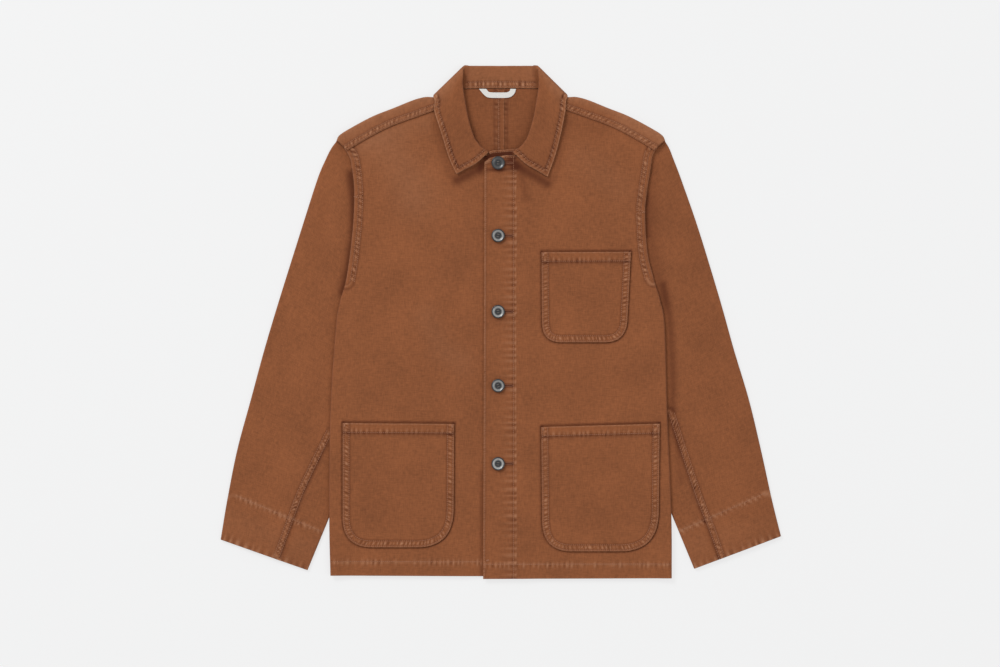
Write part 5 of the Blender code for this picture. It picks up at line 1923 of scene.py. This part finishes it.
# %% Whipped edges of the buttonholes
SLIT_START, SLIT_LONG, SLIT_HALF, BEAD = -2.0, 18.3, 1.15, 0.6
WHIP_RISE, WHIP_TURNS = 0.16, 4.6          # how the thread wound round the bead shows
front_trees = trees_of("front_left")
buttonholes = []
for k, up in enumerate(BUTTON_UPS, start=1):
    bead = start_from(
        bpy.ops.mesh.primitive_torus_add, f"buttonhole_{k}", major_radius=SLIT_HALF * MM,
        minor_radius=BEAD * MM, major_segments=24, minor_segments=8,
        location=(SLIT_START * MM, up * MM, 0))
    settle(bead)
    bpy.ops.object.mode_set(mode="EDIT")
    pick_from(bead, "VERT", lambda corner: corner.co.x > (SLIT_START + 0.05) * MM)
    bpy.ops.transform.translate(value=(SLIT_LONG * MM, 0, 0))
    pick_from(bead, "EDGE", lambda edge: edge.calc_length() > 0.8 * SLIT_LONG * MM)
    bpy.ops.mesh.subdivide(number_cuts=24)
    settle(bead)
    for corner in bead.data.vertices:
        x, y, z = corner.co / MM
        hit = drop(front_trees, x, y)
        whip = WHIP_RISE * math.sin(x * WHIP_TURNS)
        corner.co.z = (hit[0].z + 0.15 + z * (0.75 + whip) if hit else z) * MM
        corner.co.y = (up + (y - up) * (1 + 0.3 * whip)) * MM
    bead.data.materials.append(buttonhole_thread)
    bpy.ops.object.shade_smooth()
    buttonholes.append(bead)
print("buttonholes:", len(buttonholes), "with", len(buttonholes[0].data.polygons), "faces each")

# %% [markdown]
# ## Inside the neck
#
# The felled seam down the centre of the back shows inside as a narrow strip with one
# sharp edge and one row of stitching. Over it hangs the loop, a plain woven tape whose
# two ends are caught in the neck seam.

# %% The felled strip and its stitches
FELL_LEFT, FELL_RIGHT, FELL_THICK = -4.5, 5.4, 0.8
fell_rows = np.arange(-377.5, 349, 3.0)
fell_columns = np.array([FELL_LEFT, -3.9, -3.2, -2.4, -1.2, 1.0, 2.6, 3.8, 4.6, 5.0, FELL_RIGHT])
SEAMS_FELL = [
    seam([(FELL_RIGHT, -380), (FELL_RIGHT, 350)], (0.9,), lift=0.0, pucker=0.2, spacing=7,
         reach=2.0, edge=0.2, wear=0.3, groove=0.0, dark=0.0, seed=91),
    seam([(FELL_LEFT, -380), (FELL_LEFT, 350)], (1.5,), lift=0.0, pucker=0.2, spacing=6.2,
         reach=2.4, edge=0.1, wear=0.5, groove=0.2, dark=0.3, seed=92),
]
back_trees = trees_of("back_right", "back_left")
plan = np.stack(np.meshgrid(fell_columns, fell_rows), 2)
level = np.array([[drop(back_trees, x, y)[0].z for x, y in row] for row in plan])
own, _, _ = relief(plan.reshape(-1, 2), SEAMS_FELL)
top = level + GAP + FELL_THICK + own.reshape(level.shape)
grid = np.concatenate([plan, top[..., None]], 2)


def fell_marks(points):
    _, worn_and_lit, dark = relief(points[:, :2], SEAMS_FELL)
    # the fell strip takes the neck's painted shadow
    return worn_and_lit, dark + NECK_PAINTED_SHADOW


pieces["fell"] = panel_piece("back_fell_strip", grid, fell_marks, thickness=FELL_THICK)
draw = np.random.default_rng(93)
fell_trees = trees_of("fell")
fell_row = np.array([(FELL_LEFT + 1.5, -376.0), (FELL_LEFT + 1.5, 347.0)])
stitches["fell"] = lay_stitches("stitches_fell", row_places(fell_trees, fell_row, draw))
tell(pieces["fell"])

# %% The hanger loop
LOOP_WIDE, LOOP_THICK, LOOP_BOW, LOOP_CLEAR = 8.2, 0.7, 0.35, 0.25
NECK_UP = 350.2           # the tape ends where the neck seam holds it
LOOP_MIDDLE = through([(-29.6, 353), (-25.4, 347.8), (-20.6, 342.6), (-15.5, 340.9), (-4, 340.7),
                       (8, 340.8), (14.2, 342.6), (17.8, 347), (18.6, 353)], 8)
around = at_shares(LOOP_MIDDLE, np.linspace(0, 1, 60))
side_of = inward_normals(around, (-4, 1e4))
across = np.array([-1, -0.93, -0.8, -0.4, 0, 0.4, 0.8, 0.93, 1]) * LOOP_WIDE / 2
plan = around[:, None] + side_of[:, None] * across[None, :, None]
plan[..., 1] = np.minimum(plan[..., 1], NECK_UP)
loop_trees = back_trees + fell_trees
level = np.array([[drop(loop_trees, x, y)[0].z for x, y in row] for row in plan])
level = np.maximum(level, level.max(axis=1, keepdims=True) - 0.2)
for _ in range(3):        # the tape bridges the strip under it
    level[1:-1] = np.maximum(level[1:-1], np.maximum(level[:-2], level[2:]) - 0.06)
bow = LOOP_BOW * np.sin(np.linspace(0, math.pi, len(around)))[:, None]
grid = np.concatenate([plan, (level + GAP + LOOP_THICK + LOOP_CLEAR + bow)[..., None]], 2)
quads, rows, cols = grid_quads(np.ones(grid.shape[:2], bool))
quads, rows, cols = wound(quads, rows, cols, facing_up(grid.reshape(-1, 3), quads).sum() >= 0)
hanger = cloth_piece("hanger_tape", grid.reshape(-1, 3), quads, flat_uv(grid)[rows, cols],
                     finish=loop_tape, thickness=LOOP_THICK, even=False)
print("loop:", round(lengths_of(around)[-1] * MM, 3), "m of tape")

# %% [markdown]
# ## The pieces on the body
#
# Every piece rides on the one body, and stands for the frame's plain solid of the same
# sub-part. A table lists how large each cloth was cut before it was sewn and laid out.

# %% What each piece stands for
WITH_STRIP = {side: [stitches["strip_" + side], stitches["back_" + side]] for side in SIGN}
CUTS = {        # flat width and length in metres, what it rests on, what is sewn on it
    "front_right": ((0.29, 0.66), ["back_right"], [stitches["front_right"]]),
    "front_left": ((0.29, 0.66), ["back_left", "front_right"],
                   [stitches["front_left"], bar_tacks, *buttonholes]),
    "back_right": ((0.27, 0.78), ["sleeve_right", "collar"],
                   [*WITH_STRIP["right"], pieces["fell"], stitches["fell"]]),
    "back_left": ((0.27, 0.78), ["sleeve_left", "collar"], WITH_STRIP["left"]),
    "sleeve_right": ((0.48, 0.62), ["back_right"], [stitches["sleeve_right"]]),
    "sleeve_left": ((0.48, 0.62), ["back_left"], [stitches["sleeve_left"]]),
    "collar": ((0.46, 0.085), ["back_right", "back_left"], [stitches["leaf"], stitches["stand"]]),
    "pocket_chest": ((0.134, 0.136), ["front_left"], [stitches["pocket_chest"]]),
    "pocket_lower_right": ((0.167, 0.187), ["front_right"], [stitches["pocket_lower_right"]]),
    "pocket_lower_left": ((0.178, 0.190), ["front_left"], [stitches["pocket_lower_left"]]),
}
for node, (flat_size, rests_on, sewn_on) in CUTS.items():
    piece = pieces[node]
    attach(piece, "root")
    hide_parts(node)
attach(pieces["fell"], "root")
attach(hanger, "root")
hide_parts("hanger_loop")
for item in [*stitches.values(), bar_tacks, *buttonholes, *strands]:
    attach(item, "root")
for k, item in enumerate(buttons, start=1):
    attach(item, "root")
    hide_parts(f"button_{k}")
    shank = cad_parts[f"thread_shank_{k}"]
    shank.data.materials.clear()
    shank.data.materials.append(button_thread)
print("pieces:", len(CUTS) + 2 + len(stitches) + 1 + len(buttonholes) + len(strands) + len(buttons))
